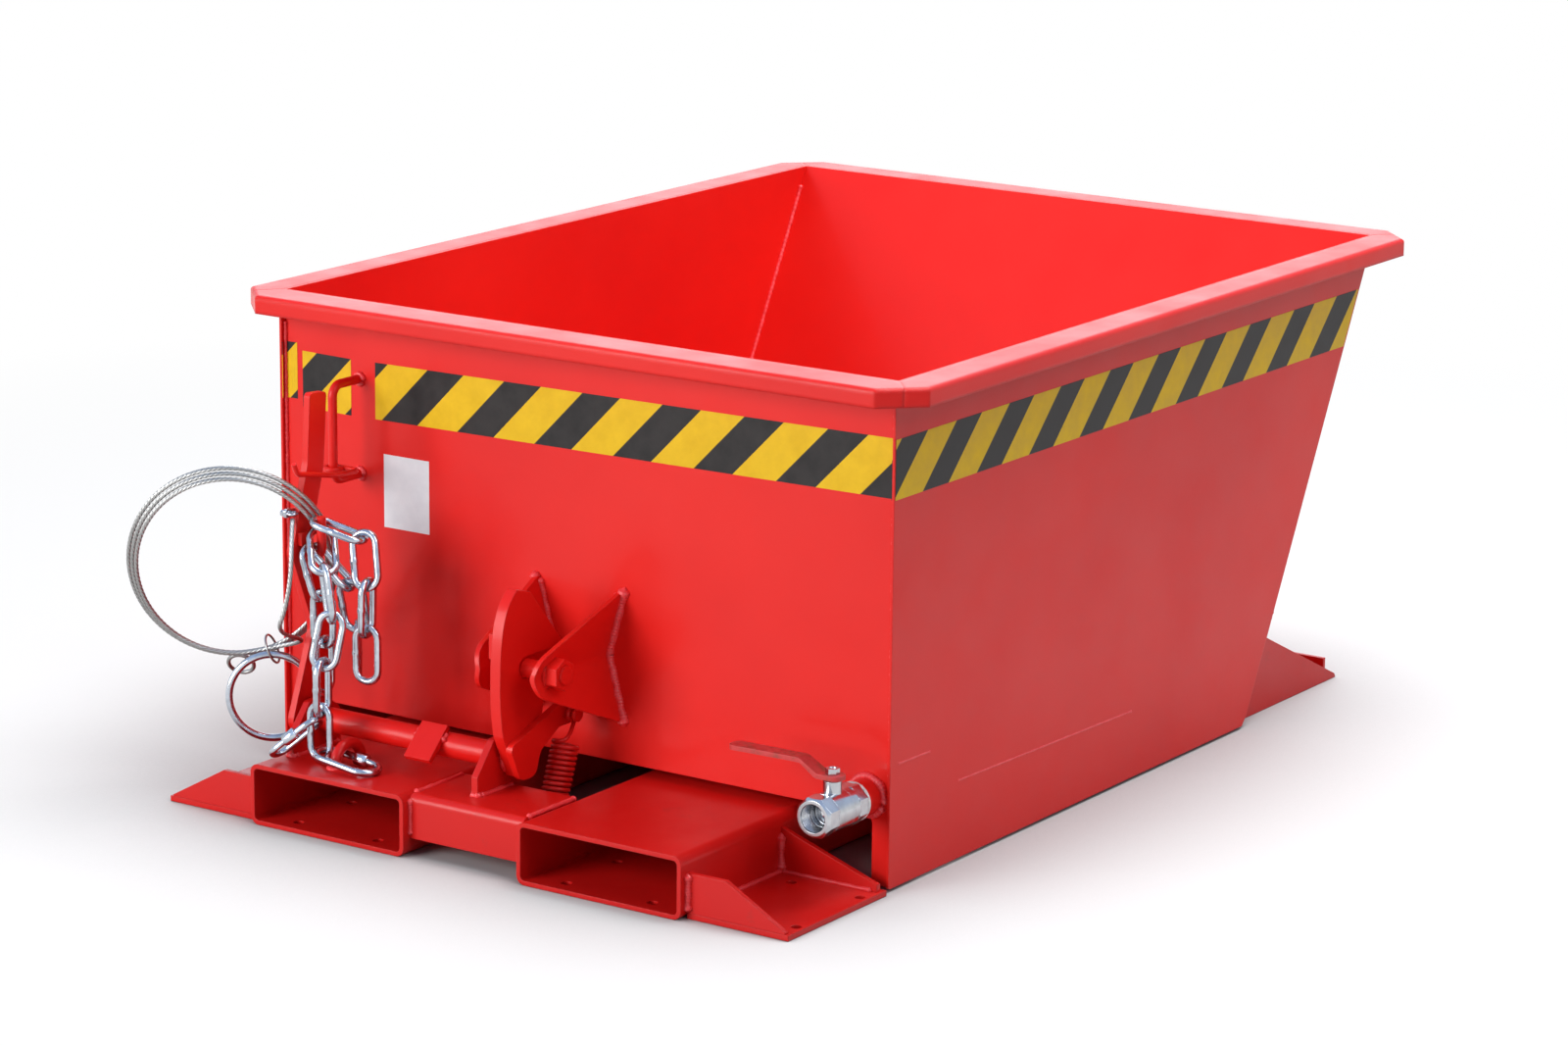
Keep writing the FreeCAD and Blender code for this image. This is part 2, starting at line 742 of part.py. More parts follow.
def spring_pin():
    x0 = latch_left_x + latch_plate_thickness + arm_thickness
    place = V(x0, shaft_y + arm_hole[0], shaft_z + arm_hole[1])
    pin = rod(place, place + X * 15, 8)
    head = rod(place + X * 12, place + X * 15, 15)
    return pin.fuse(head).removeSplitter()


spring_x = latch_left_x + latch_plate_thickness + arm_thickness + 6.0


def spring_edges():
    # One wire: eye on the anchor, close turns, eye on the arm's pin
    r = spring_dia / 2 - spring_wire / 2
    low = V(spring_x, anchor_y, anchor_z)
    high = V(spring_x, shaft_y + arm_hole[0], shaft_z + arm_hole[1])
    w = (high - low).normalize()
    n = X.cross(w)
    body = spring_turns * spring_pitch
    ring_low = anchor_dia / 2 + 0.4 + spring_wire / 2
    ring_high = 4.0 + 0.4 + spring_wire / 2
    start = ((high - low).Length - body + ring_low - ring_high) / 2 - 4

    def point(turn):
        a = 2 * math.pi * turn
        return low + w * (start + spring_pitch * turn) + n * (r * math.cos(a)) + X * (r * math.sin(a))

    def way(turn):
        a = 2 * math.pi * turn
        return (w * (spring_pitch / (2 * math.pi * r)) - n * math.sin(a) + X * math.cos(a)).normalize()
    turns = [i / 2 for i in range(2 * spring_turns + 1)]
    points = [point(t) for t in turns]
    ways = [way(t) for t in turns]
    foot = low - n * ring_low
    open_end = low + w * ring_low * 0.96 + n * ring_low * 0.28
    tail = [Part.Arc(open_end, low + n * ring_low, low - w * ring_low).toShape(),
            Part.Arc(low - w * ring_low, low - (w + n) * (ring_low / math.sqrt(2)), foot).toShape()]
    head = high - n * ring_high
    crown = [Part.Arc(head, high + (w - n) * (ring_high / math.sqrt(2)), high + w * ring_high).toShape(),
             Part.Arc(high + w * ring_high, high + n * ring_high,
                      high - w * ring_high * 0.96 + n * ring_high * 0.28).toShape()]
    into = biarc(foot, w, points[0], ways[0])
    out = biarc(points[-1], ways[-1], head, w)
    return tail + into + through(points, ways) + out + crown


def foot_pedal():
    a = math.radians(44)
    along, up = V(0, -math.cos(a), -math.sin(a)), V(0, -math.sin(a), math.cos(a))
    base = V(pedal_x - pedal_width / 2, shaft_y, shaft_z) + up * (shaft_dia / 2 - 1.5)
    flat = [base - along * 13, base + along * 32, base + along * 32 + up * 6, base - along * 13 + up * 6]
    plate = Part.Face(loop(flat)).extrude(V(pedal_width, 0, 0))
    return plate.cut(release_shaft())


peg_y, peg_z = 80.0, 283.0
peg_x = lever_x + 25.0
peg_top = 326.0


def chain_hook():
    # Round peg on the lever with its end turned up, and a stop block behind it
    points = [V(lever_x, peg_y, peg_z), V(peg_x, peg_y, peg_z), V(peg_x, peg_y, peg_top)]
    peg = bent_bar(points, peg_dia, 10)
    block = box(lever_x, lever_x + 6, peg_y - 10, peg_y + 8, peg_z + 10, peg_z + 24)
    return Part.Compound([peg, block])


# Chain
def link(pitch, width, wire):
    # Stadium link standing in XZ, long way up
    r = (width - wire) / 2
    h = (pitch + wire) / 2 - r
    corners = [V(r, 0, -h), V(r, 0, h), V(-r, 0, h), V(-r, 0, -h)]
    edges = [Part.LineSegment(corners[0], corners[1]).toShape(),
             Part.Arc(corners[1], V(0, 0, h + r), corners[2]).toShape(),
             Part.LineSegment(corners[2], corners[3]).toShape(),
             Part.Arc(corners[3], V(0, 0, -h - r), corners[0]).toShape()]
    return sweep(edges, wire)


def placed(shape, place, turn):
    copy = shape.copy()
    copy.Placement = FreeCAD.Placement(place, turn)
    return copy


hold = peg_dia / 2 + link_wire / 2 + 0.4
seat = link_wire + 0.9
down = V(0, 0, -1)


def hung_run(end, ways, flats):
    # Links one below the other: each is held by an end wire at one point and lies along its own way
    links = []
    reach = link_pitch + link_wire
    plain = link(link_pitch, link_width, link_wire)
    for i in range(len(ways)):
        way = V(ways[i]).normalize()
        start = end if i == 0 else end - way * seat
        turn = FreeCAD.Rotation(flats[i], V(0, 0, 0), way, "ZXY")
        links.append(placed(plain, start + way * (reach / 2), turn))
        end = start + way * reach
    return links


def from_tip(height, bearing, fall):
    # Where a link's end wire lies round the turned-up end, its way and its flat direction
    out = V(math.cos(math.radians(bearing)), math.sin(math.radians(bearing)), 0)
    way = out * math.cos(math.radians(fall)) - Z * math.sin(math.radians(fall))
    return V(peg_x, peg_y, height) - out * hold, way, Z.cross(out), out


def hung_chain():
    # Three bights: one straight off the peg, two fanning out from its turned-up end
    way = V(0.2, -0.17, -0.965)
    links = hung_run(V(peg_x - 11, peg_y, peg_z) - way * hold, [way, down, down], [Y, X, Y])
    end, way, flat, out = from_tip(peg_z + 17.5, -14, 39)
    links += hung_run(end, [way, down, down, down], [flat, out, Y, X])
    end, way, flat, out = from_tip(peg_z + 28.5, 9, 19.5)
    links += hung_run(end, [way, V(0.15, 0, -0.99), down, down], [flat, X, Y, X])
    return Part.Compound(links)


end_x, end_y = -218.0, 41.0
end_z = pocket_height + (link_pitch + 2 * link_wire) / 2 + 1


def chain_end():
    return placed(link(link_pitch, link_width, link_wire), V(end_x, end_y, end_z), FreeCAD.Rotation())


def sleeve(place, way, across, length, bore):
    nut = hexagon(V(0, 0, 0), X, across, length)
    nut = nut.cut(rod(X * -1, X * (length + 1), bore))
    return placed(nut, place - way * (length / 2), FreeCAD.Rotation(X, way))


def quick_link_low():
    # Lies through the chain eye with its left end in the last link
    pitch, width = 68.0, 41.0
    wire = link_wire
    reach = (pitch + wire) / 2
    lift = end_z - link_pitch / 2 + wire / 2 + 1.0
    rest = pocket_height + wire / 2 + 0.4
    tilt = math.asin((lift - rest) / (2 * reach))
    way = V(-math.cos(tilt), 0, math.sin(tilt))
    place = V(end_x - 1, end_y, lift) - way * reach
    turn = FreeCAD.Rotation(Y, V(0, 0, 0), way, "ZXY")
    wire_at = place + V(0, (width - wire) / 2, 0) - way * 6
    body = placed(link(pitch, width, wire), place, turn)
    return body, sleeve(wire_at, way, 11.5, 16, wire + 0.04)


def quick_link_high():
    # Hangs from the last link's upper end and leans on the pocket
    pitch, width, wire = 58.0, 34.0, 7.0
    top = V(end_x, end_y, end_z + link_pitch / 2 - wire / 2 - 6)
    foot = V(end_x - 42, end_y - 22, pocket_height + wire / 2 + 2)
    way = (top - foot).normalize()
    reach = (pitch + wire) / 2
    place = top - way * reach
    turn = FreeCAD.Rotation(Y, V(0, 0, 0), way, "ZXY")
    side = turn.multVec(X)
    if side.y > 0:
        side = side * -1
    body = placed(link(pitch, width, wire), place, turn)
    return body, sleeve(place + side * ((width - wire) / 2), way, 12, 18, wire + 0.04)


# Rope and pull ring, carried by the lever
coil_centre = V(-349.0, 54.0, 263.0)
coil_bearing, coil_lean = 37.0, 25.0
coil_start = -68.0
coil_grow, coil_step = 4.3, -4.1


def coil_axes():
    a, b = math.radians(coil_bearing), math.radians(coil_lean)
    u = V(math.cos(a), math.sin(a), 0)
    h = V(math.sin(a), -math.cos(a), 0)
    v = Z * math.cos(b) + h * math.sin(b)
    return u, v, u.cross(v), h


def coil_point(turn):
    # Loose turns that grow and step aside by a little more than the rope
    u, v, n, h = coil_axes()
    a = math.radians(coil_start) - 2 * math.pi * turn
    step = turn - coil_turns / 2
    wide, tall = coil_wide + coil_grow * step, coil_tall + coil_grow * step
    return coil_centre + u * (wide * math.cos(a)) + v * (tall * math.sin(a)) + n * (coil_step * step)


def coil_way(turn):
    d = 1e-4
    return (coil_point(turn + d) - coil_point(turn - d)).normalize()


def rope_tail():
    # Where the rope leaves its last turn, and the direction there
    end, way = coil_point(coil_turns), coil_way(coil_turns)
    out = (end - coil_centre).normalize()
    n = coil_axes()[2]
    leave = (way + out * 0.30 - n * 0.22).normalize()
    return end + (way + leave).normalize() * 16, leave


def coil_edges():
    turns = [i / 8 for i in range(8 * coil_turns + 1)]
    tail, leave = rope_tail()
    return through([coil_point(t) for t in turns] + [tail], [coil_way(t) for t in turns] + [leave])


clip_y, clip_z = 67.0, 331.0
clip_x = lever_x - lever_thickness / 2


def strand_points():
    end, way, n = coil_point(0), coil_way(0), coil_axes()[2]
    return [V(clip_x, clip_y, clip_z - 9), V(clip_x + 8, 55, 300), V(clip_x + 13, 48, 266),
            V(clip_x + 6, 46, 228), V(clip_x - 6, 45, 200), end - way * 50 + n * 16, end]


def rope_strand():
    points = strand_points()
    ways = [Z * -1]
    for i in range(1, len(points) - 1):
        ways.append((points[i + 1] - points[i - 1]).normalize())
    ways.append(coil_way(0))
    return sweep(through(points, ways), rope_dia)


def rope_clip():
    x = clip_x
    saddle = box(x - 9, x + 3, clip_y - 6, clip_y + 18, clip_z - 9, clip_z + 4)
    return saddle.cut(release_lever())


def rope_sleeve():
    place, way = rope_tail()
    return rod(place, place + way * 18, 8.4)


def rope_eye():
    place, way = rope_tail()
    n = coil_axes()[2]
    r = 14.0
    side = n - way * n.dot(way)
    return Part.makeTorus(r, rope_dia / 2 - 0.2, place + way * (18 + r + rope_dia / 2), side)


def bundle():
    return (coil_point(0) + coil_point(coil_turns)) * 0.5


def ring_top():
    return bundle() + coil_axes()[3] * 13 - Z * 5


def rope_tie():
    # Loop round the bundle and the top of the pull ring
    middle = bundle() + (ring_top() - bundle()) * 0.25
    return Part.makeTorus(16.0, 1.3, middle, coil_way(coil_turns / 2 + 0.5))


def pull_ring():
    r = (ring_dia - ring_wire) / 2
    return Part.makeTorus(r, ring_wire / 2, ring_top() - Z * r, coil_axes()[3])


# Collect, move to the origin and write
front_rim, rear_rim, right_rim, left_rim = rim_parts()
valve_front, valve_back = valve_bodies()
link_low, nut_low = quick_link_low()
link_high, nut_high = quick_link_high()
spring_path = spring_edges()
coil_path = coil_edges()

nodes = {
    "right_fork_pocket": fork_pocket(),
    "left_fork_pocket": mirrored(fork_pocket()),
    "front_cross_angle": front_cross_angle(),
    "right_front_castor_plate": front_castor_plate(),
    "left_front_castor_plate": mirrored(front_castor_plate()),
    "castor_gussets": Part.Compound([front_gusset(), back_gusset(), mirrored(front_gusset()),
                                     mirrored(back_gusset())]),
    "right_rear_castor_plate": rear_castor_plate(),
    "left_rear_castor_plate": mirrored(rear_castor_plate()),
    "rear_cross_tubes": rear_cross_tubes(),
    "rear_cross_bar": rear_cross_bar(),
    "right_tipping_bracket": tipping_bracket(),
    "left_tipping_bracket": mirrored(tipping_bracket()),
    "right_hinge_pin": hinge_pin_solid(),
    "left_hinge_pin": mirrored(hinge_pin_solid()),
    "left_shaft_bearing": shaft_bearing(lever_x + 5),
    "right_shaft_bearing": shaft_bearing(latch_left_x - bearing_plate - 3),
    "chain_eye": chain_eye(),
    "spring_anchor": spring_anchor(),
    "right_side_plate": side_plate(),
    "left_side_plate": mirrored(side_plate()),
    "front_wall": front_wall(),
    "sloping_wall": sloping_wall(),
    "floor_plate": floor_plate(),
    "floor_bearers": floor_bearers(),
    "front_rim": front_rim,
    "rear_rim": rear_rim,
    "right_rim": right_rim,
    "left_rim": left_rim,
    "right_latch_ear": latch_ear(),
    "left_latch_ear": across_catch(latch_ear()),
    "right_catch_stud": catch_stud_right(),
    "left_catch_stud": catch_stud_left(),
    "catch_nut": catch_nut(),
    "lever_guide": lever_guide(),
    "safety_hook": safety_hook(),
    "right_hinge_lug": hinge_lug(),
    "left_hinge_lug": mirrored(hinge_lug()),
    "drain_socket": drain_socket(),
    "valve_seal": valve_seal(),
    "valve_body": valve_front,
    "valve_end": valve_back,
    "valve_ball": valve_ball(),
    "valve_handle": valve_handle(),
    "valve_nut": valve_nut(),
    "release_shaft": release_shaft(),
    "release_lever": release_lever(),
    "latch_plate": latch_plate(),
    "latch_tooth": latch_tooth(),
    "spring_arm": spring_arm(),
    "spring_pin": spring_pin(),
    "return_spring": sweep(spring_path, spring_wire),
    "foot_pedal": foot_pedal(),
    "chain_hook": chain_hook(),
    "hung_chain": hung_chain(),
    "chain_end": Part.Compound([chain_end(), link_low, nut_low, link_high, nut_high]),
    "rope_clip": rope_clip(),
    "rope_strand": rope_strand(),
    "rope_coil": sweep(coil_path, rope_dia),
    "rope_fittings": Part.Compound([rope_sleeve(), rope_eye(), rope_tie()]),
    "pull_ring": pull_ring(),
}

print("spring self gap %.2f" % self_gap(spring_path, spring_wire, 30.0))
print("rope coil self gap %.2f" % self_gap(coil_path, rope_dia, 200.0))

os.makedirs("parts", exist_ok=True)
for name, shape in nodes.items():
    moved = shape.copy()
    moved.translate(V(0, -overall_length / 2, 0))
    if not moved.isValid() or moved.Volume <= 0:
        print("check shape", name, moved.isValid(), moved.Volume)
    moved.exportStep("parts/%s.step" % name)
print(len(nodes), "nodes, overall length %.1f" % overall_length)
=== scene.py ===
# %% [markdown]
# # A tipping skip on a fork frame
# A red sheet-steel container tips backwards off a low frame with two fork pockets. The solids come from a
# CAD model; this lesson dresses them. Everything is laid out in metres in the frame that the CAD model
# uses, so a new piece can be placed from the same sizes as the solids.

# %% Load the solids
import json
import math

import bpy
import numpy as np
from mathutils import Matrix


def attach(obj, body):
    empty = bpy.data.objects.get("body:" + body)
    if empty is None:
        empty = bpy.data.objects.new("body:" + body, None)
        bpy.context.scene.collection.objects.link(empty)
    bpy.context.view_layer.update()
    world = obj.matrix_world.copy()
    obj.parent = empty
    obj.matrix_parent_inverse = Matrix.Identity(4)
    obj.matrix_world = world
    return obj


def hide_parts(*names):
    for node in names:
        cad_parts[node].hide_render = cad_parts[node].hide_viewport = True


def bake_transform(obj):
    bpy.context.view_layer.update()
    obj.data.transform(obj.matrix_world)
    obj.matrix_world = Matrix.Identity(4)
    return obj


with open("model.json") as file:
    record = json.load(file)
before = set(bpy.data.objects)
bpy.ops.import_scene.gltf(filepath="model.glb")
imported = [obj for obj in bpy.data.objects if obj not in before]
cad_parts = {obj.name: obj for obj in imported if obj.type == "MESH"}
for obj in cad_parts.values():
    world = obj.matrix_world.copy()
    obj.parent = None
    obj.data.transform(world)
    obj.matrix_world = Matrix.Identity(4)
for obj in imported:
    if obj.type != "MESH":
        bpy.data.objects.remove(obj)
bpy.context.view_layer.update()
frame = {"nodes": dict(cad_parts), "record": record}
nodes = frame["nodes"]
half_length = 0.63325


def row(points):
    """Millimetres from the pocket mouths to metres in the shared frame.

    Each number is divided by 1000, and y is moved back by half the length.
    """
    return np.asarray(points, float) / 1000 - np.array([0, half_length, 0])


# %% [markdown]
# ## Camera
# The camera stands in front of the fork pockets, to the right and a little above the rim. Its place and
# lens were worked out from the corners of the container, so it is written as three angles and a point. The
# matrix is built from its right, up and backward directions, which avoids guessing at Euler angles.

# %% Place the camera
yaw, pitch, roll = -0.5943, 0.2403, 0.0104
sensor_mm, image_px, focal_px = 36, 1600, 4927.5
ahead = np.array([math.sin(yaw) * math.cos(pitch), math.cos(yaw) * math.cos(pitch), -math.sin(pitch)])
level = np.array([math.cos(yaw), -math.sin(yaw), 0])
above = np.cross(level, ahead)
right = math.cos(roll) * level + math.sin(roll) * above
up = -math.sin(roll) * level + math.cos(roll) * above
eye = row([2947.3, -3767.4, 1543.6])


def stand(x_axis, y_axis, z_axis, at):
    """The matrix of an object from its three directions, as columns, and its place."""
    return Matrix(np.vstack([np.column_stack([x_axis, y_axis, z_axis, at]), [0, 0, 0, 1]]).tolist())


camera = bpy.data.objects.new("photo_camera", bpy.data.cameras.new("photo_camera"))
bpy.context.scene.collection.objects.link(camera)
camera.data.sensor_width = sensor_mm
camera.data.lens = sensor_mm * focal_px / image_px
camera.matrix_world = stand(right, up, -ahead, eye)
bpy.context.scene.camera = camera
bpy.context.scene.view_settings.view_transform = "Standard"
print("camera at", eye.round(3), "lens", round(camera.data.lens, 1))

# %% [markdown]
# ## Surfaces from arrays
# Every new piece here is a grid of points: either a profile carried along a path, or a patch with two
# parameters. One helper turns such a grid into a mesh, and one lays a profile along a path, both with whole
# arrays.

# %% Grid helpers


def swept(path, section, ref):
    """A profile carried along a path without twisting.

    Its first number goes sideways (tangent x ref) and its second goes up (side x tangent). The turn of that
    pair of directions from one path point to the next is added up and taken back, so the profile follows the
    path quietly.
    """
    way = np.gradient(path, axis=0)
    way /= np.linalg.norm(way, axis=1)[:, None]
    side = np.cross(way, ref)
    side /= np.linalg.norm(side, axis=1)[:, None]
    lift = np.cross(side, way)
    step = np.arctan2((side[:-1] * lift[1:]).sum(1), (side[:-1] * side[1:]).sum(1))
    turn = np.concatenate([[0], np.cumsum(step)])[:, None]
    side, lift = np.cos(turn) * side + np.sin(turn) * lift, np.cos(turn) * lift - np.sin(turn) * side
    section = np.broadcast_to(section, (len(path),) + section.shape[-2:])
    return path[:, None] + section[..., :1] * side[:, None] + section[..., 1:] * lift[:, None]


def grid_faces(n, m, wrap, start=0):
    """Quads of an n by m grid of points, joined round in the second direction where wrap is set."""
    i = np.arange(n - 1)[:, None]
    j = np.arange(m if wrap else m - 1)[None, :]
    k = (j + 1) % m
    return np.stack([i * m + j, (i + 1) * m + j, (i + 1) * m + k, i * m + k], -1).reshape(-1, 4) + start


def tube_faces(n, m, start=0):
    """The quads of a closed tube and one many-sided face at each end."""
    ends = [list(range(start, start + m)), list(range(start + n * m - 1, start + (n - 1) * m - 1, -1))]
    return grid_faces(n, m, True, start).tolist() + ends


def piece(name, points, faces, smooth=True):
    """A mesh object at the origin with its place in its points."""
    mesh = bpy.data.meshes.new(name)
    mesh.from_pydata(np.asarray(points).reshape(-1, 3).tolist(), [], faces)
    mesh.polygons.foreach_set("use_smooth", [smooth] * len(mesh.polygons))
    mesh.update()
    made = bpy.data.objects.new(name, mesh)
    bpy.context.scene.collection.objects.link(made)
    return made


def circle(count, radius=1.0):
    """Points round a circle, angle by angle."""
    a = np.linspace(0, 2 * np.pi, count, endpoint=False)
    return radius * np.column_stack([np.cos(a), np.sin(a)])


def unit(v):
    """The same direction, one long."""
    return v / np.linalg.norm(v)


print("helpers ready")

# %% [markdown]
# ## The pull rope
# A steel wire rope hangs from a clip on the lever, runs down and is wound in three loose turns that carry a
# pull ring. Its line is one NURBS curve through the points that the CAD route uses. Blender is asked for
# the points of that curve, and six strands are twisted along them: the section of the tube is six touching
# circles that turn once in every lay of the rope. A NURBS curve runs a little inside its points, so the
# points of the turns stand out by that much.

# %% Route of the rope
coil_centre = np.array([-349.0, 54.0, 263.0])
coil_wide, coil_tall, coil_turns = 106, 124, 3
turn_growth, turn_step = 4.3, 4.1
turn_points, curve_swell = 16, 1.0194
bearing, lean, first_angle = math.radians(37), math.radians(25), math.radians(-68)
coil_u = np.array([math.cos(bearing), math.sin(bearing), 0])
coil_h = np.array([math.sin(bearing), -math.cos(bearing), 0])
coil_v = np.array([0, 0, math.cos(lean)]) + coil_h * math.sin(lean)
coil_n = np.cross(coil_u, coil_v)


def coil_point(turn, swell=1.0):
    """Loose turns: an ellipse whose two radii grow a little each turn and which steps aside each turn."""
    turn = np.asarray(turn, float)[..., None]
    a = first_angle - 2 * np.pi * turn
    step = turn - coil_turns / 2
    wide, tall = swell * (coil_wide + turn_growth * step), swell * (coil_tall + turn_growth * step)
    return coil_centre + coil_u * wide * np.cos(a) + coil_v * tall * np.sin(a) - coil_n * turn_step * step


nearby, lead_in, lead_aside, tail_length = 1e-4, 50, 16, 16
coil_first, coil_last = coil_point(0), coil_point(coil_turns)
way_first = unit(coil_point(nearby) - coil_point(-nearby))
way_last = unit(coil_point(coil_turns + nearby) - coil_point(coil_turns - nearby))
leave = unit(way_last + unit(coil_last - coil_centre) * 0.30 - coil_n * 0.22)
tail = coil_last + unit(way_last + leave) * tail_length
strand = [(-274, 67, 322), (-266, 55, 300), (-261, 48, 266), (-268, 46, 228), (-280, 45, 200),
          coil_first - way_first * lead_in + coil_n * lead_aside]
turns = coil_point(np.arange(0, turn_points * coil_turns + 1) / turn_points, curve_swell)
route = row(np.vstack([strand, turns, [tail]]))

line = bpy.data.curves.new("rope_line", "CURVE")
line.dimensions = "3D"
spline = line.splines.new("NURBS")
spline.points.add(len(route) - 1)
spline.points.foreach_set("co", np.column_stack([route, np.ones(len(route))]).ravel())
spline.order_u = 3
spline.use_endpoint_u = True
spline.resolution_u = 20
line_object = bpy.data.objects.new("rope_line", line)
bpy.context.scene.collection.objects.link(line_object)
bpy.context.view_layer.update()
line_mesh = bpy.data.meshes.new_from_object(line_object)
rope_path = np.empty(3 * len(line_mesh.vertices))
line_mesh.vertices.foreach_get("co", rope_path)
rope_path = rope_path.reshape(-1, 3)
bpy.data.objects.remove(line_object)
rope_steps = np.linalg.norm(np.diff(rope_path, axis=0), axis=1)

# %% Strands of the rope
# A strand is a circle of a third of the rope's radius, two thirds of it out from the middle. The outline is
# where a ray from the middle leaves that circle.
rope_radius, rope_lay, strands = 0.0025, 0.034, 6
along = np.concatenate([[0], np.cumsum(rope_steps)])
around = np.linspace(0, 2 * np.pi, 24, endpoint=False)
lobe = ((around * strands / (2 * np.pi)) % 1 - 0.5) * math.radians(360 / strands)
reach = rope_radius * (np.cos(lobe) * 2 / 3 + np.sqrt(1 / 9 - np.sin(lobe) ** 2 * 4 / 9 + 1e-9))
twist = around[None] + 2 * np.pi * along[:, None] / rope_lay
rope_section = np.stack([reach * np.cos(twist), reach * np.sin(twist)], -1)
rope_grid = swept(rope_path, rope_section, coil_n)
rope = piece("pull_rope", rope_grid, tube_faces(*rope_grid.shape[:2]))
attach(rope, "release_gear")
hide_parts("rope_strand", "rope_coil")
print("rope mesh", len(rope.data.polygons), "faces")

# %% [markdown]
# ## The rope clip
# The rope is clamped to the lever by a small wire-rope clip: a bow of round bar goes round the rope, its
# two legs pass through a saddle, and a hexagon nut sits on each leg. The bow and legs are one line of
# straight, half circle, straight with a circle carried along it. Saddle and nuts are rounded outlines
# carried a short way with their edges drawn in.

# %% Bow, saddle and nuts
clip_place = np.array([-274.0, 67.0, 328.0])
side_x, side_y, side_z = np.eye(3)


def drawn(outline, depths, shrink, origin, e1, e2, e3):
    """An outline in e1 and e2 carried along e3: at each depth it is scaled, so that the edges look broken.

    e1 x e2 points against e3, as in a swept tube, so that the faces point outwards.
    """
    depths, shrink = np.asarray(depths, float)[:, None, None], np.asarray(shrink, float)[:, None, None]
    flat = outline[None] * shrink
    return origin + flat[..., :1] * e1 + flat[..., 1:] * e2 + depths * e3


def rounded_box(wide, tall, power=5.0, count=40):
    """A squarish outline: the superellipse |x/a|^p + |y/b|^p = 1, angle by angle."""
    c = circle(count)
    scale = (np.abs(c[:, 0]) ** power + np.abs(c[:, 1]) ** power) ** (-1 / power)
    return c * scale[:, None] * np.array([wide / 2, tall / 2])


def loop_faces(n, m, start=0):
    """The quads of a ring-shaped tube: the grid is joined round in both directions."""
    return (grid_faces(n + 1, m, True) % (n * m) + start).tolist()


def gathered(name, tubes, loops, smooth):
    """One piece from closed tubes, which have ends, and loops, which run back into their first ring."""
    points, faces, start = [], [], 0
    for number, grid in enumerate(tubes + loops):
        n, m = grid.shape[:2]
        points.append(grid.reshape(-1, 3))
        faces += tube_faces(n, m, start) if number < len(tubes) else loop_faces(n, m, start)
        start += n * m
    return piece(name, np.vstack(points), faces, smooth)


bow_radius, bow_wire, leg = 4.7, 3.2, 11.0
half_turn = np.radians(np.linspace(-90, 90, 25))
bow = np.column_stack([bow_radius * np.cos(half_turn), bow_radius * np.sin(half_turn), 0 * half_turn])
legs = np.linspace(-leg, -0.6, 10)
straight = np.column_stack([legs, 0 * legs - bow_radius, 0 * legs])
bow_line = clip_place + np.vstack([straight, bow, (straight * np.array([1, -1, 1]))[::-1]])
bow_grid = swept(row(bow_line), circle(12, bow_wire / 2000), side_z)
saddle_outline, nut_outline = rounded_box(9.5, 15.0), circle(6, 3.6)
saddle = drawn(saddle_outline, [-7.6, -7.0, -3.4, -2.9], [0.93, 1, 1, 0.93], clip_place,
               side_z, side_y, side_x)
nuts = [drawn(nut_outline, [-11.0, -10.5, -8.2, -7.7], [0.88, 1, 1, 0.9],
              clip_place + side_y * s * bow_radius, side_z, side_y, side_x) for s in (-1, 1)]
clip = gathered("rope_clip_bow", [bow_grid] + [row(g) for g in [saddle] + nuts], [], False)
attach(clip, "release_gear")
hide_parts("rope_clip")
print("clip", len(clip.data.polygons), "faces")

# %% [markdown]
# ## The chain
# A long-link chain is hung in bights over the lever's peg, and one strand of it goes down to the last link,
# which two quick links hold to the eye on the fork pocket. A link is one closed line of two half circles
# and two straight sides with a circle carried round it, and a small swelling on one side where it was
# welded shut. Each link starts inside the end of the one before it and is turned about its own length by
# roughly a right angle. The strand that joins the lever to the pocket is a piece of its own, attached to
# neither body.

# %% One link
link_pitch, link_wide, link_wire = 52.0, 34.0, 7.8
link_reach = link_pitch + link_wire
weld_half = 2.6


def oval_line(pitch, wide, wire):
    """Centre line of a link, its outward direction, and how near each point is to the weld on the left."""
    r = (wide - wire) / 2
    h = (pitch + wire) / 2 - r
    a = np.linspace(0, np.pi, 13)[:, None]
    mid = np.linspace(-8, 8, 9)[:, None]
    bend = np.hstack([np.cos(a), np.sin(a)])
    left, right = np.hstack([0 * mid - 1, 0 * mid]), np.hstack([0 * mid + 1, 0 * mid])
    out = np.vstack([bend, left, -bend, right])
    shift = np.concatenate([0 * a + h, -mid, 0 * a - h, mid])
    line = out * r + np.hstack([0 * shift, shift])
    weld_share = np.exp(-(line[:, 1] / weld_half) ** 2) * (line[:, 0] < -0.9 * r)
    return line, out, weld_share


def oval_tube(at, way, across, pitch=link_pitch, wide=link_wide, wire=link_wire, swell=0.16):
    """A ring of circles round a link's line, which lies in the plane of way, its length, and across."""
    line, out, weld_share = oval_line(pitch, wide, wire)
    way = unit(np.asarray(way, float))
    across = unit(across - np.dot(across, way) * way)
    normal = np.cross(across, way)
    thick = (wire / 2 * (1 + swell * weld_share))[:, None, None]
    ring = circle(12)
    middle = at + line[:, :1] * across + line[:, 1:] * way
    outward = out[:, :1] * across + out[:, 1:] * way
    return row(middle[:, None] + thick * (ring[None, :, :1] * outward[:, None] + ring[None, :, 1:] * normal))


def turned(degrees):
    """A level direction at an angle from the x axis."""
    return np.array([math.cos(math.radians(degrees)), math.sin(math.radians(degrees)), 0])


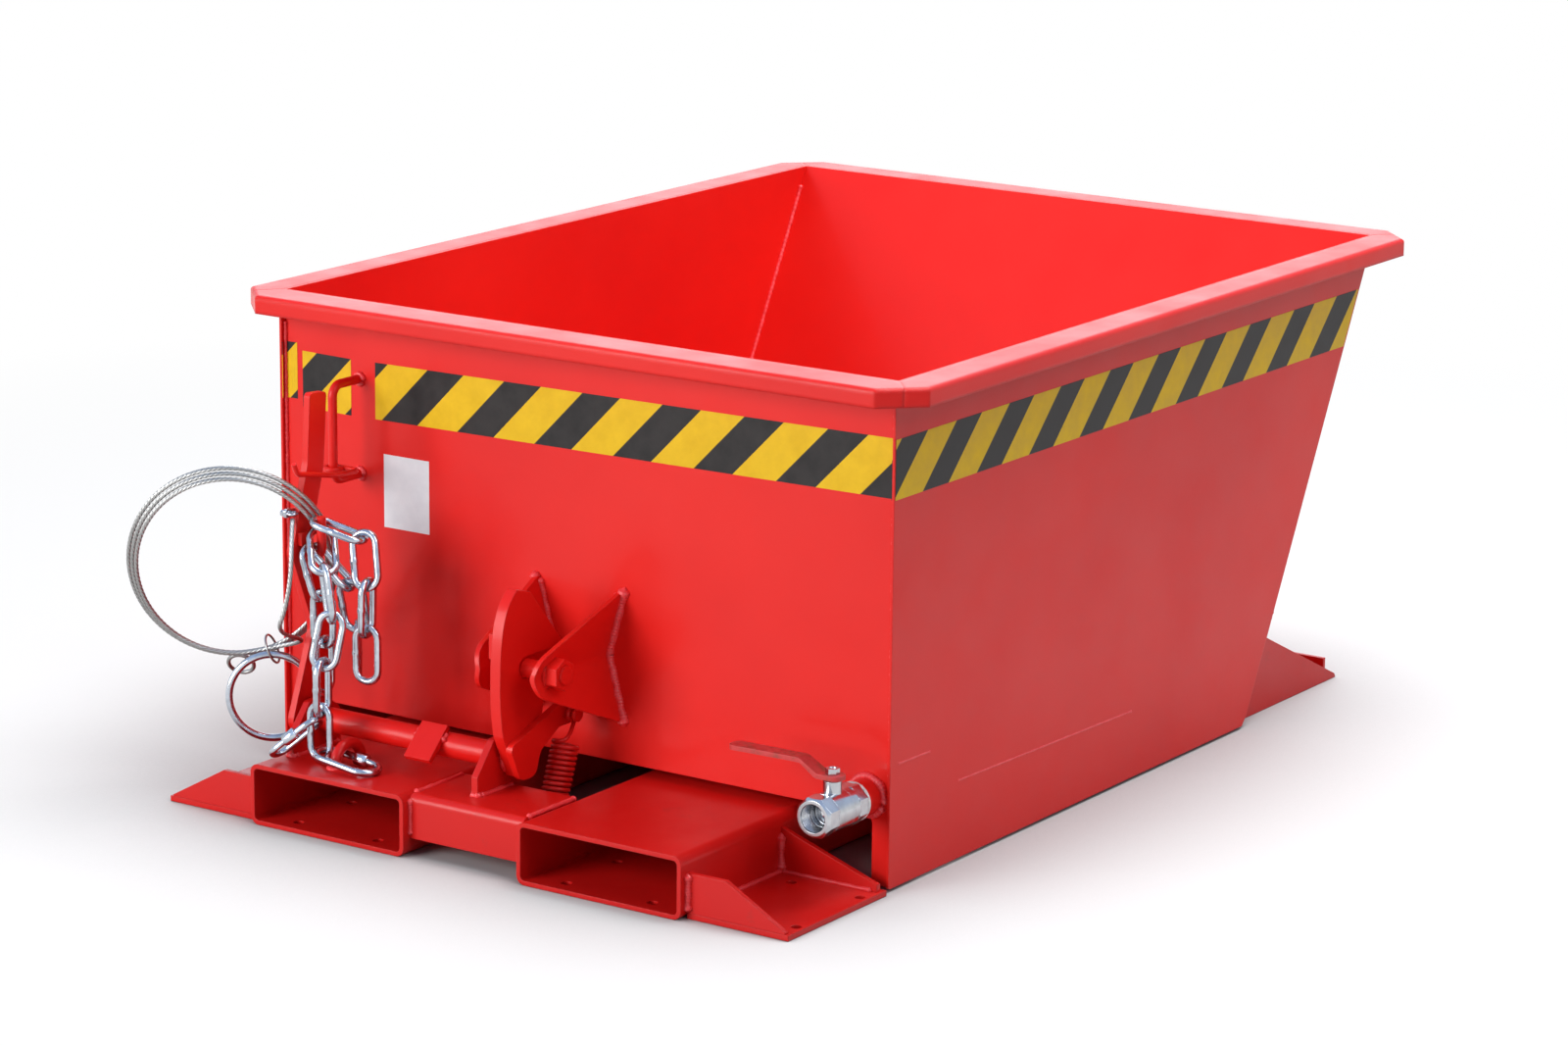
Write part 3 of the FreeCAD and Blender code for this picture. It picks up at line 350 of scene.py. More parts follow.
def hung(start, ways, across):
    """Links one in the other: each starts a little more than a wire before the end of the last one."""
    seat = link_wire + 0.7
    tubes, end = [], np.asarray(start, float)
    for number, (way, flat) in enumerate(zip(ways, across)):
        way = unit(np.asarray(way, float))
        end = end - way * seat * (number > 0)
        tubes.append(oval_tube(end + way * link_reach / 2, way, flat))
        end = end + way * link_reach
    return tubes


print("link", link_reach + link_wire, "mm long")

# %% Bights on the peg
peg, peg_radius = np.array([-245.0, 80.0, 283.0]), 5.0
peg_hold = peg_radius + link_wire / 2 + 0.5
down = np.array([0, 0, -1.0])


def from_tip(height, bearing, fall):
    """Start and way of a link laid over the peg's turned-up end at a height, falling by an angle."""
    out = turned(bearing)
    way = out * math.cos(math.radians(fall)) + down * math.sin(math.radians(fall))
    return np.array([peg[0], peg[1], height]) - out * peg_hold, way


root_way = unit(np.array([0.32, 0.03, -0.965]))
root_start = peg - np.array([16.5, 0, 0]) - root_way * peg_hold
bights = hung(root_start, [root_way, down, down], [side_y, side_x, side_y])
start, way = from_tip(293.4, 17.8, 45.7)
bights += hung(start, [way, (-0.04, 0.28, -1), down], [turned(107.8), turned(17.8), turned(129)])
start, way = from_tip(321.3, 17.1, 16.3)
bights += hung(start, [way, (0.2, -0.15, -0.93), (-0.03, 0, -1), down],
               [turned(107.1), turned(17.1), turned(101), turned(11)])
hank = gathered("chain_hank", [], bights, True)
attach(hank, "release_gear")
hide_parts("hung_chain")
print("hank", len(bights), "links")

# %% Strand to the pocket and quick links
start, way = from_tip(310.1, -46.1, 37.3)
joining = hung(start, [way, (10.6, -2.5, -50.1), (-0.1, -0.2, -1), (-0.03, 0.02, -1)],
               [turned(50), turned(142.4), turned(25.5), turned(100.6)])
chain_strand = gathered("chain_strand", [], joining, True)
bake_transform(chain_strand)
last_link = np.array([-218.0, 41.0, 102.0])


def quick_link(middle, way, across, pitch, wide, wire, nut_side, nut_shift, nut_size):
    """A plain link with a six-sided sleeve round the middle of one of its sides."""
    way = unit(np.asarray(way, float))
    across = unit(across - np.dot(across, way) * way)
    at = middle + across * nut_side * (wide - wire) / 2 + way * nut_shift
    sleeve = drawn(circle(6, nut_size / math.sqrt(3)), [-8.5, -7.6, 7.6, 8.5], [0.86, 1, 1, 0.86], at,
                   across, np.cross(across, way), way)
    return row(sleeve), oval_tube(middle, way, across, pitch, wide, wire, 0.0)


upper_top, upper_foot = np.array([-219.8, 41.0, 116.0]), np.array([-266.7, 19.4, 72.5])
upper_way = unit(upper_top - upper_foot)
upper_middle, lower_middle = upper_top - upper_way * 32.5, np.array([-181.3, 41.0, 76.2])
upper = quick_link(upper_middle, upper_way, np.array([0.11, 1, 0]), 58, 34, 7.0, -1, 0.0, 12.0)
lower = quick_link(lower_middle, (-0.992, 0, 0.126), side_y, 68, 41, 8.0, 1, -6.0, 12.5)
ends = gathered("chain_last_links", [upper[0], lower[0]],
                [oval_tube(last_link, side_z, side_x), upper[1], lower[1]], True)
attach(ends, "base_frame")
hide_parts("chain_end")
print("strand", len(joining), "links")

# %% [markdown]
# ## The return spring
# A close-wound tension spring pulls the latch shut. It is one round wire: an eye on the anchor bar, eleven
# turns and an eye on the arm's pin. The line of the wire is written as a formula for each stretch, and a
# circle is carried along it. The piece is attached to neither body.

# %% Wire of the spring
spring_low, spring_high = np.array([21.0, 126, 24]), np.array([21.0, 167, 134])
spring_wire, coil_radius, pitch_mm, spring_turns = 4.5, 13.25, 5.6, 11
spring_axis = unit(spring_high - spring_low)
spring_side = np.cross(side_x, spring_axis)
eye_low, eye_high, eye_end = 6.4 + spring_wire / 2, 4.4 + spring_wire / 2, 1.29
spring_span = np.linalg.norm(spring_high - spring_low)
spring_start = (spring_span - spring_turns * pitch_mm + eye_low - eye_high) / 2 - 4


def helix(turn):
    """Points of the close turns: round the axis once a turn and one pitch along it."""
    a = 2 * np.pi * turn[:, None]
    return (spring_low + spring_axis * (spring_start + pitch_mm * turn[:, None])
            + spring_side * coil_radius * np.cos(a) + side_x * coil_radius * np.sin(a))


def eye_arc(centre, radius, first, last):
    """Part of a circle about a pin, from one angle to the other, measured from the side towards the axis."""
    a = np.linspace(first, last, 40)[:, None]
    return centre + radius * (spring_side * np.cos(a) + spring_axis * np.sin(a))


def bridge(p0, t0, p1, t1):
    """A cubic that leaves p0 along t0 and meets p1 along t1."""
    s = np.linspace(0, 1, 22)[1:-1, None]
    pull = np.linalg.norm(p1 - p0) * 1.2
    return ((2 * s ** 3 - 3 * s ** 2 + 1) * p0 + (s ** 3 - 2 * s ** 2 + s) * t0 * pull
            + (3 * s ** 2 - 2 * s ** 3) * p1 + (s ** 3 - s ** 2) * t1 * pull)


lower_eye = eye_arc(spring_low, eye_low, eye_end, -math.pi)
upper_eye = eye_arc(spring_high, eye_high, math.pi, -eye_end)
body = helix(np.linspace(0, spring_turns, 36 * spring_turns + 1))
enter = bridge(lower_eye[-1], spring_axis, body[0], unit(body[1] - body[0]))
depart = bridge(body[-1], unit(body[-1] - body[-2]), upper_eye[0], spring_axis)
spring_path = row(np.vstack([lower_eye, enter, body, depart, upper_eye]))
spring_grid = swept(spring_path, circle(14, spring_wire / 2000), np.array([0.31, 0.22, 0.92]))
print("spring wire", spring_path.shape[0], "rings")

# %% Spring piece
spring = piece("return_spring_wire", spring_grid, tube_faces(*spring_grid.shape[:2]))
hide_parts("return_spring")
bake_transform(spring)
print("spring", len(spring.data.polygons), "faces")

# %% [markdown]
# ## Hazard tape and blank label
# Black and yellow tape runs round the container below the rim. It was stuck on in lengths and cut away
# round the lever and its guide loop, so it is made as separate thin sheets. A sheet is a flat patch between
# four corners with a shallow ripple in it, and Solidify gives it the thickness of tape. The stripes come
# from the material.

# %% Sheets on the walls
wall_y, plate_y, plate_x = 206.0, 200.0, 400.0
tape_low, tape_top, tape_gap, tape_sheet = 412.5, 475.0, 0.30, 0.00018
mouth_end, rim_top, slope_run = 1226.5, 534, 1 / math.tan(math.radians(62.4))


def sheet_patch(name, corners, out, ripple, count=(60, 8)):
    """A four-cornered patch: u and v mix its corners, and a sine ripple lifts it off its wall."""
    u = np.linspace(0, 1, count[0])[:, None, None]
    v = np.linspace(0, 1, count[1])[None, :, None]
    a, b, c, d = (np.asarray(p, float) for p in corners)
    flat = (1 - u) * ((1 - v) * a + v * d) + u * ((1 - v) * b + v * c)
    wave = tape_gap + ripple * np.sin(9 * np.pi * u + 2.0 * v) * np.sin(np.pi * v) * np.sin(np.pi * u)
    grid = row(flat + np.asarray(out, float) * wave)
    made = piece(name, grid, grid_faces(count[0], count[1], False).tolist(), False)
    skin = made.modifiers.new("thickness", "SOLIDIFY")
    skin.thickness = tape_sheet
    skin.offset = -1
    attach(made, "container")
    return made


def front_patch(name, x0, x1, z0, z1, ripple=0.08, drop=0.0, y=wall_y):
    """A sheet on the front wall between two x and two z, its left end lower by drop."""
    corners = [(x0, y, z0 - drop), (x1, y, z0), (x1, y, z1), (x0, y, z1 - drop)]
    return sheet_patch(name, corners, (0, -1, 0), ripple)


def far_edge(z):
    """Where the pouring edge of a side plate lies at a height."""
    return mouth_end - (rim_top - z) * slope_run


def side_patch(name, sign):
    """A sheet on a side plate from just behind its front edge to just before its slanting edge."""
    x, near, low_end, top_end = plate_x * sign, plate_y + 1, far_edge(tape_low) - 3, far_edge(tape_top) - 3
    corners = [(x, near, tape_low), (x, low_end, tape_low), (x, top_end, tape_top), (x, near, tape_top)]
    if sign < 0:
        corners = [corners[1], corners[0], corners[3], corners[2]]
    return sheet_patch(name, corners, (sign, 0, 0), 0.08, (120, 8))


edge_low, edge_top = tape_low + 2, tape_top + 2
tapes = [front_patch("tape_front", -272, 396, tape_low, tape_top, drop=6.5),
         front_patch("tape_front_lever", -373, -305.5, tape_low - 7, tape_top - 7, drop=-1.0),
         front_patch("tape_front_edge", -396.2, -380.5, edge_low, edge_top),
         front_patch("tape_corner_left", -399.8, -396.2, edge_low, edge_top, 0.0, y=plate_y),
         front_patch("tape_corner_right", 396.2, 399.8, tape_low, tape_top, 0.0, y=plate_y),
         side_patch("tape_right", 1), side_patch("tape_left", -1)]
label = front_patch("blank_label", -261, -199, 288, 369, 0.05)
print(len(tapes), "lengths of tape, one label")

# %% [markdown]
# ## Weld beads
# The plates are welded, and the beads show on every joint. A bead is a round profile carried along the
# joint with ripples across it, which swells to a lump near each end and then fades out. The ripples are
# sines of the distance along the bead, with a slower wander so that no two beads look stamped. All the
# beads of one body are one mesh.

# %% Bead helper
long_seam, fine_step, coarse_step = 300, 0.8, 1.6


def line_distance(points):
    """Distance along a line of corners, at each corner."""
    return np.concatenate([[0], np.cumsum(np.linalg.norm(np.diff(points, axis=0), axis=1))])


def ring_line(centre, radius, axis):
    """Points round a circle about an axis, as a line for a bead."""
    axis = unit(np.asarray(axis, float))
    e1 = unit(np.cross(axis, [0.31, 0.42, 0.85]))
    e2 = np.cross(axis, e1)
    a = np.radians(np.linspace(0.0, 360.0, 60))[:, None]
    return np.asarray(centre, float) + radius * (e1 * np.cos(a) + e2 * np.sin(a))


def bead_grid(points, radius, seed):
    """A rippled tube: radius times (1 + ripple + wander), with a lump and then a point at each end.

    A long seam is sampled twice as coarsely as a short one, and its ripples are twice as long.
    """
    points = np.asarray(points, float)
    far = line_distance(points)
    step = coarse_step if far[-1] > long_seam else fine_step
    s = np.linspace(0, far[-1], max(8, int(far[-1] / step)))
    path = np.column_stack([np.interp(s, far, points[:, k]) for k in range(3)])
    turn = 2 * np.pi * s
    ripple = 0.12 * np.sin(turn / (3.9 * step) + seed) + 0.10 * np.sin(turn / 23 + 2.3 * seed)
    rest = np.minimum(s, s[-1] - s)
    fade = np.sqrt(np.clip(rest / radius, 0.02, 1))
    lump = 0.45 * np.exp(-((rest - 1.1 * radius) / (0.8 * radius)) ** 2)
    thick = radius * (1 + ripple + lump) * fade
    drift = 0.12 * radius * np.sin(turn / 17 + 1.7 * seed)[:, None]
    section = circle(10)[None] * thick[:, None, None]
    return swept(row(path + drift * np.array([0.5, 0.3, 0.6])), section / 1000, np.array([0.37, 0.61, 0.70]))


def weld(name, body, lines):
    """All the beads of a body in one mesh: each line is (points, radius)."""
    beads = [bead_grid(points, radius, 1.0 + 0.77 * i) for i, (points, radius) in enumerate(lines)]
    made = gathered(name, beads, [], True)
    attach(made, body)
    print(name, len(lines), "beads,", len(made.data.polygons), "faces")
    return made


def both_sides(lines):
    """The lines and their mirror images across the middle plane."""
    return lines + [(np.asarray(p, float) * np.array([-1, 1, 1]), r) for p, r in lines]


print("beads of", fine_step, "and", coarse_step, "mm steps")

# %% Beads of the container
ear_out = [(62.5, 205, 270), (41.5, 205, 194), (62.5, 205, 118)]
ear_in = [(55.0, 205, 264), (35.0, 205, 194), (55.0, 205, 124)]
ear_lines = [(ear_out, 4.6), (ear_in, 3.4)]
ear_lines += [([(5 - x, y, z) for x, y, z in p], r) for p, r in ear_lines]
seam_x, seam_low, seam_high = 396, 84, 512
inside = [([(seam_x, far_edge(z) - 4.5, z) for z in (seam_low, seam_high)], 2.4),
          ([(seam_x, 210, seam_low), (seam_x, 210, seam_high)], 2.2),
          ([(seam_x, 212, 81), (seam_x, far_edge(81) - 6, 81)], 2.4)]
outside = [([(396.2, far_edge(z) + 1.0, z) for z in (120, 505)], 2.4),
           ([(seam_x, 205, 120), (seam_x, 205, 500)], 2.0),
           ([(399.3, 330, 88), (399.3, 690, 80)], 1.2),
           ([(399.3, 214, 134), (399.3, 276, 133)], 1.2)]
across_inside = [([(-392, 210, 81.5), (392, 210, 81.5)], 2.4),
                 ([(x, far_edge(82) - 5, 82) for x in (-392, 392)], 2.4)]
guide = [(ring_line((-294, 205.2, z), 5.6, side_y), 2.6) for z in (448, 343)]
drain = [(ring_line((369, 204.8, 97.5), 20.6, side_y), 4.0)]
container_welds = weld("container_welds", "container",
                       both_sides(inside + outside) + across_inside + ear_lines + guide + drain)

# %% Beads of the frame
gusset_faces = (10.6, 17.4, 177.6)
plate_lines = [([(282, y, 7), (282, y, 48)], 4.0) for y in gusset_faces]
plate_lines += [([(282, 14, 7), (282, 186, 7)], 2.6),
                ([(284, 17.5, 7), (396, 17.5, 7)], 2.2),
                ([(284, 177.5, 7), (394, 177.5, 7)], 2.2)]
angle_lines = [([(73.5, 11.5, 22), (73.5, 11.5, 62)], 2.8), ([(73.5, 20, 66.5), (73.5, 102, 66.5)], 2.4)]
bracket_lines = [([(373, 960, 56.5), (373, 996, 56.5)], 2.6), ([(373.5, 1004, 7), (373.5, 1180, 7)], 2.6)]
bearing_lines = [([(x, 46, 67.6), (x, 120, 67.6)], 2.6) for x in (-265.4, -256.6)]
bearing_lines += [([(x, 46, 67.6), (x, 102, 67.6)], 2.6) for x in (-17.4, -8.6)]
bearing_lines += [([(x - 7, 45.5, 67.8), (x + 7, 45.5, 67.8)], 3.4) for x in (-261.0, -13.0)]
eye_lines = [(ring_line((-195, y, 67.6), 6.6, side_z), 2.4) for y in (36.5, 80.5)]
frame_welds = weld("frame_welds", "base_frame",
                   both_sides(plate_lines + angle_lines + bracket_lines) + bearing_lines + eye_lines)

# %% Beads of the release gear
shaft_y, shaft_z = 96.0, 98.0
gear_lines = [(ring_line((-269.4, shaft_y, shaft_z), 14.2, side_x), 2.8),
              (ring_line((-6.6, shaft_y, shaft_z), 14.0, side_x), 2.4)]
gear_lines += [([(x, 82, 104), (x, 93, 111.5)], 2.8) for x in (-121.5, -86.5)]
release_welds = weld("release_welds", "release_gear", gear_lines)

# %% [markdown]
# ## Outlet thread
# The drain valve's open end has a pipe thread inside. A thread is a cylinder whose radius goes up and down
# as it winds: the height of the ridge depends on the distance along the axis minus one pitch for every
# turn.

# %% Thread in the outlet
outlet_x, outlet_y, outlet_z = 369.0, 104.5, 97.5
thread_pitch, thread_radius, thread_height, thread_start = 2.3, 15.05, 0.95, 0.8
thread_rings, thread_sides = 110, 64
theta = np.linspace(0, 2 * np.pi, thread_sides, endpoint=False)[None, :]
depth = np.linspace(thread_start, 16.5, thread_rings)[:, None]
phase = ((depth + thread_pitch * theta / (2 * np.pi)) / thread_pitch) % 1
ridge = np.abs(phase - 0.5) * 2
bore = thread_radius - thread_height * ridge * np.clip((depth - thread_start) / 2.5, 0, 1)
thread_grid = np.stack([outlet_x + bore * np.cos(theta), outlet_y + depth + 0 * theta,
                        outlet_z + bore * np.sin(theta)], -1)
thread_faces = grid_faces(thread_rings, thread_sides, True)[:, ::-1].tolist()
thread = piece("outlet_thread", row(thread_grid), thread_faces)
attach(thread, "container")
print("thread", len(thread.data.polygons), "faces")

# %% [markdown]
# ## Finishes
# Each finish is a small node tree on Object coordinates, in metres, so that grain keeps its real size on
# every solid. The helpers below add a node and fill its sockets, read a noise, and turn a noise into
# colour, roughness or bump. The Bevel node rounds the shading of sharp plate edges, which is what makes
# painted sheet steel look folded and sprayed.

# %% Node helpers


def fill(tree, socket, value):
    """Set a socket to a number or a colour, or link an output into it."""
    if isinstance(value, (int, float)):
        socket.default_value = value
    elif isinstance(value, tuple):
        socket.default_value = (*value, 1)
    else:
        tree.links.new(value, socket)


def fill_all(tree, node, **values):
    """Fill a node's sockets by their names, with _ for a space."""
    for key, value in values.items():
        fill(tree, node.inputs[key.replace("_", " ")], value)


def add(tree, kind, *sockets, **values):
    """Add a node and fill its first sockets in order and others by name."""
    made = tree.nodes.new("ShaderNode" + kind)
    for socket, value in zip(made.inputs, sockets):
        fill(tree, socket, value)
    fill_all(tree, made, **values)
    return made


def new_finish(name):
    """A material with a Principled shader; returns it with its node tree and shader."""
    made = bpy.data.materials.new(name)
    made.use_nodes = True
    return made, made.node_tree, made.node_tree.nodes["Principled BSDF"]


def place(tree, source="Object"):
    """The coordinates that a pattern reads."""
    return add(tree, "TexCoord").outputs[source]


def reckon(tree, kind, first, second=0.0):
    """A sum, product or other reckoning of two values."""
    made = add(tree, "Math", first, second)
    made.operation = kind
    return made.outputs[0]


def measure(tree, kind, *vectors):
    """A number made from vectors, such as a length or a dot product."""
    made = add(tree, "VectorMath", *vectors)
    made.operation = kind
    return made.outputs["Value"]


def speckle(tree, where, scale, detail=3.0, rough=0.55):
    """Noise of a given number of lumps to the metre."""
    made = add(tree, "TexNoise", Vector=where, Scale=scale, Detail=detail, Roughness=rough)
    return made.outputs["Fac"]


def ramp(tree, source, stops):
    """A colour ramp through (position, colour) stops."""
    made = add(tree, "ValToRGB", Fac=source)
    band = made.color_ramp
    while len(band.elements) < len(stops):
        band.elements.new(0.5)
    for element, (position, colour) in zip(band.elements, stops):
        element.position = position
        element.color = (*colour, 1)
    return made.outputs["Color"]


def between(tree, source, low, high, out_low, out_high):
    """Stretch a range of values onto another range."""
    made = add(tree, "MapRange", source, low, high, out_low, out_high)
    return made.outputs["Result"]


def mixed(tree, factor, first, second):
    """Two colours mixed by a factor."""
    made = tree.nodes.new("ShaderNodeMix")
    made.data_type = "RGBA"
    for socket, value in ((0, factor), (6, first), (7, second)):
        fill(tree, made.inputs[socket], value)
    return made.outputs[2]


def rounded(tree, radius):
    """Shading normal of edges rounded by a radius, and how far it turns from the flat face, as a mask."""
    soft = add(tree, "Bevel", Radius=radius)
    soft.samples = 4
    flat = tree.nodes.new("ShaderNodeNewGeometry").outputs["True Normal"]
    dot = measure(tree, "DOT_PRODUCT", soft.outputs["Normal"], flat)
    return soft.outputs["Normal"], between(tree, dot, 0.99, 0.80, 0.0, 1.0)


def bump(tree, height, strength, distance, **under):
    """Turn a height into a shading normal, over another normal where one is given."""
    return add(tree, "Bump", Height=height, Strength=strength, Distance=distance, **under).outputs["Normal"]


print("node helpers ready")

# %% [markdown]
# ### Red paint
# The whole skip is sprayed in one glossy red. Real paint is never one flat colour: it pools a little
# darker, is thinner on edges, has the fine orange peel of a spray gun, and wears to dull scuffs where things
# rub. Its edges are painted a lighter red, partly for that thinner paint and partly as a painted highlight.
# The rim's edges are folded over a wider radius than a cut plate's, and paint lies thick and shiny on beads,
# whose lighter pink is a painted highlight.

# %% Red paint
scuffed_red = (0.23, 0.035, 0.028)


def red_paint(name, deep, full, thin_and_lit, scuff, edge_radius=0.0016, gloss=0.24):
    """Sprayed paint: a slow wander between two reds, lighter edges for thinner paint and a painted
    highlight, scuffs by noise, peel as bump.
    """
    made, tree, shader = new_finish(name)
    where = place(tree)
    normal, edge = rounded(tree, edge_radius)
    tone = ramp(tree, speckle(tree, where, 2.6, 4.0), [(0.32, deep), (0.68, full)])
    worn_and_lit = between(tree, speckle(tree, where, 90.0, 5.0, 0.65), 0.45, 0.75, 0.0, 0.8)
    # The lighter edge colour, in patches: partly thinner paint, partly a painted highlight.
    colour = mixed(tree, reckon(tree, "MULTIPLY", edge, worn_and_lit), tone, thin_and_lit)
    rub = between(tree, speckle(tree, where, 38.0, 6.0, 0.7), 1 - scuff, 1.0, 0.0, 0.7)
    dull = between(tree, speckle(tree, where, 14.0, 4.0), 0.3, 0.7, 0.30, 0.42)
    peel = bump(tree, speckle(tree, where, 420.0, 2.0), 0.10, 0.0006, Normal=normal)
    fill_all(tree, shader, Base_Color=mixed(tree, rub, colour, scuffed_red), Roughness=dull, Normal=peel,
             Specular_IOR_Level=gloss, Coat_Weight=0.10, Coat_Roughness=0.12)
    return made


deep_red, full_red = (0.70, 0.009, 0.007), (0.80, 0.014, 0.009)
# The third colour of each paint is its edge colour: thinner paint and a painted highlight.
container_paint = red_paint("container_paint", deep_red, full_red, (0.88, 0.10, 0.08), 0.30)
rim_paint = red_paint("rim_paint", deep_red, full_red, (0.80, 0.03, 0.02), 0.30, edge_radius=0.006)
frame_paint = red_paint("frame_paint", (0.58, 0.008, 0.007), (0.68, 0.012, 0.009), (0.80, 0.09, 0.07), 0.40)
# The beads are painted a lighter pink than the walls: a painted highlight for beads that stand in shade.
weld_paint_and_highlight = red_paint("weld_paint_and_highlight", (0.80, 0.030, 0.034), (0.92, 0.062, 0.070), (0.95, 0.16, 0.17), 0.12,
                       gloss=0.5)
print(container_paint.name, rim_paint.name, frame_paint.name, weld_paint_and_highlight.name)

# %% [markdown]
# ### Metals
# The chain and its links are bright zinc, the valve is nickel on brass, the rope is galvanised wire. All
# are metal shaders; what tells them apart is tone, how rough they are, and the scale of the grain in their
# bump.

# %% Metals


def metal(name, dull, bright, scale, rough, grain, depth):
    """Plated metal: tone and roughness wander with one noise, grain with a finer one, and edges are lighter
    as a painted highlight.
    """
    made, tree, shader = new_finish(name)
    where = place(tree)
    normal, edge = rounded(tree, 0.0007)
    broad = speckle(tree, where, scale, 4.0)
    tone = ramp(tree, broad, [(0.30, dull), (0.70, bright)])
    # Edges a little brighter than the metal: a painted highlight.
    lift = tuple(min(1.0, 1.15 * v) for v in bright)
    fill_all(tree, shader, Base_Color=mixed(tree, edge, tone, lift), Metallic=1.0,
             Roughness=between(tree, broad, 0.3, 0.7, rough[1], rough[0]),
             Normal=bump(tree, speckle(tree, where, grain, 3.0, 0.6), 0.25, depth, Normal=normal))
    return made


chain_zinc = metal("chain_zinc", (0.38, 0.41, 0.46), (0.62, 0.66, 0.72), 60.0, (0.10, 0.24), 900.0, 2e-4)
valve_nickel = metal("valve_nickel", (0.40, 0.41, 0.43), (0.57, 0.58, 0.60), 40.0, (0.13, 0.24), 900.0, 6e-5)
ball_chrome = metal("ball_chrome", (0.66, 0.67, 0.69), (0.80, 0.81, 0.82), 30.0, (0.07, 0.15), 400.0, 5e-5)
rope_wire = metal("rope_wire", (0.22, 0.22, 0.21), (0.40, 0.40, 0.39), 120.0, (0.30, 0.46), 1500.0, 2e-4)
print("four metals")

# %% [markdown]
# ### Handle, seal and label
# The handle has an older, duller red with brown wear. The seal is matt white. The label is plain white
# film.

# %% Handle, seal and label


def handle_finish():
    """Dull dipped coating, brown where it is rubbed through, lighter pink on edges as a painted highlight.
    """
    made, tree, shader = new_finish("handle_coating")
    where = place(tree)
    normal, edge = rounded(tree, 0.0010)
    tone = ramp(tree, speckle(tree, where, 70.0, 5.0, 0.65),
                [(0.30, (0.26, 0.050, 0.026)), (0.52, (0.56, 0.035, 0.034)), (0.75, (0.66, 0.06, 0.06))])
    # The lighter pink on edges is a painted highlight.
    fill_all(tree, shader, Base_Color=mixed(tree, edge, tone, (0.72, 0.13, 0.14)),
             Roughness=between(tree, speckle(tree, where, 160.0), 0.3, 0.7, 0.40, 0.62),
             Normal=bump(tree, speckle(tree, where, 520.0), 0.3, 0.0003, Normal=normal))
    return made


def plain_white(name, scale, stops, rough, grain, strength, depth):
    """White with faint grey clouds by one noise, and a fine grain as bump."""
    made, tree, shader = new_finish(name)
    where = place(tree)
    fill_all(tree, shader, Base_Color=ramp(tree, speckle(tree, where, scale, 4.0), stops), Roughness=rough,
             Normal=bump(tree, speckle(tree, where, grain), strength, depth))
    return made


handle_coating = handle_finish()
seal_white = plain_white("seal_white", 180.0, [(0.3, (0.66, 0.66, 0.65)), (0.6, (0.84, 0.84, 0.83))],
                         0.5, 700.0, 0.2, 0.0002)
label_white = plain_white("label_white", 40.0, [(0.3, (0.76, 0.76, 0.79)), (0.7, (0.86, 0.86, 0.88))],
                          0.35, 260.0, 0.08, 0.0004)
print(handle_coating.name, seal_white.name, label_white.name)

# %% [markdown]
# ### Tape stripes
# The stripes are a saw-tooth of the place along the wall less a share of the height: lines of one value
# lean like a slash, and about half of each period is black. Each length of tape starts its stripes at a
# place of its own.

# %% Tape stripes
stripe_slant, yellow_share, stripe_blur = 1.0, 0.520, 0.012
stripe_period = {"X": 0.1020, "Y": 0.1031}


def tape_finish(name, axis, sign, first_yellow):
    """Slanted stripes: the fraction of (place along the wall - slant x height) / period decides the colour.

    first_yellow is the place along the wall, at the tape's top edge, where one yellow stripe starts.
    """
    made, tree, shader = new_finish(name)
    where = place(tree)
    split = add(tree, "SeparateXYZ", Vector=where).outputs
    period = stripe_period[axis]
    shift = stripe_slant * tape_top / 1000 - first_yellow + 10 * period
    wall_place = reckon(tree, "MULTIPLY", split[axis], sign)
    slant = reckon(tree, "SUBTRACT", wall_place, reckon(tree, "MULTIPLY", split["Z"], stripe_slant))
    stripe = reckon(tree, "FRACT", reckon(tree, "DIVIDE", reckon(tree, "ADD", slant, shift), period))
    black = between(tree, stripe, yellow_share, yellow_share + stripe_blur, 0.0, 1.0)
    smear = speckle(tree, where, 46.0, 5.0, 0.6)
    yellow = ramp(tree, smear, [(0.3, (0.72, 0.43, 0.004)), (0.7, (0.82, 0.51, 0.006))])
    dark = ramp(tree, smear, [(0.3, (0.012, 0.010, 0.010)), (0.7, (0.024, 0.020, 0.019))])
    fill_all(tree, shader, Base_Color=mixed(tree, black, yellow, dark), Specular_IOR_Level=0.22,
             Roughness=between(tree, smear, 0.3, 0.7, 0.32, 0.46),
             Normal=bump(tree, speckle(tree, where, 210.0, 3.0), 0.12, 0.0005))
    return made


side_first = 0.260 - half_length
front_tape = tape_finish("tape_front_stripes", "X", 1, -0.248)
lever_tape = tape_finish("tape_lever_stripes", "X", 1, -0.2985)
edge_tape = tape_finish("tape_edge_stripes", "X", 1, -0.384)
right_tape = tape_finish("tape_right_stripes", "Y", 1, side_first)
left_tape = tape_finish("tape_left_stripes", "Y", -1, -side_first)
print("five runs of stripes")

# %% Put the finishes on
own_finish = {"pull_ring": chain_zinc, "rope_fittings": rope_wire, "valve_ball": ball_chrome,
              "valve_handle": handle_coating, "valve_seal": seal_white}
own_finish.update(dict.fromkeys(["valve_body", "valve_end", "valve_nut"], valve_nickel))
own_finish.update(dict.fromkeys(["front_rim", "rear_rim", "right_rim", "left_rim"], rim_paint))
frame_nodes = set(frame["record"]["behaviour"]["bodies"]["base_frame"])


def finish_of(name):
    """The finish of a solid by its name; what has none of its own is painted red."""
    return own_finish.get(name) or (frame_paint if name in frame_nodes else container_paint)


def wear(target, made):
    """Give an object one material."""
    target.data.materials.clear()
    target.data.materials.append(made)


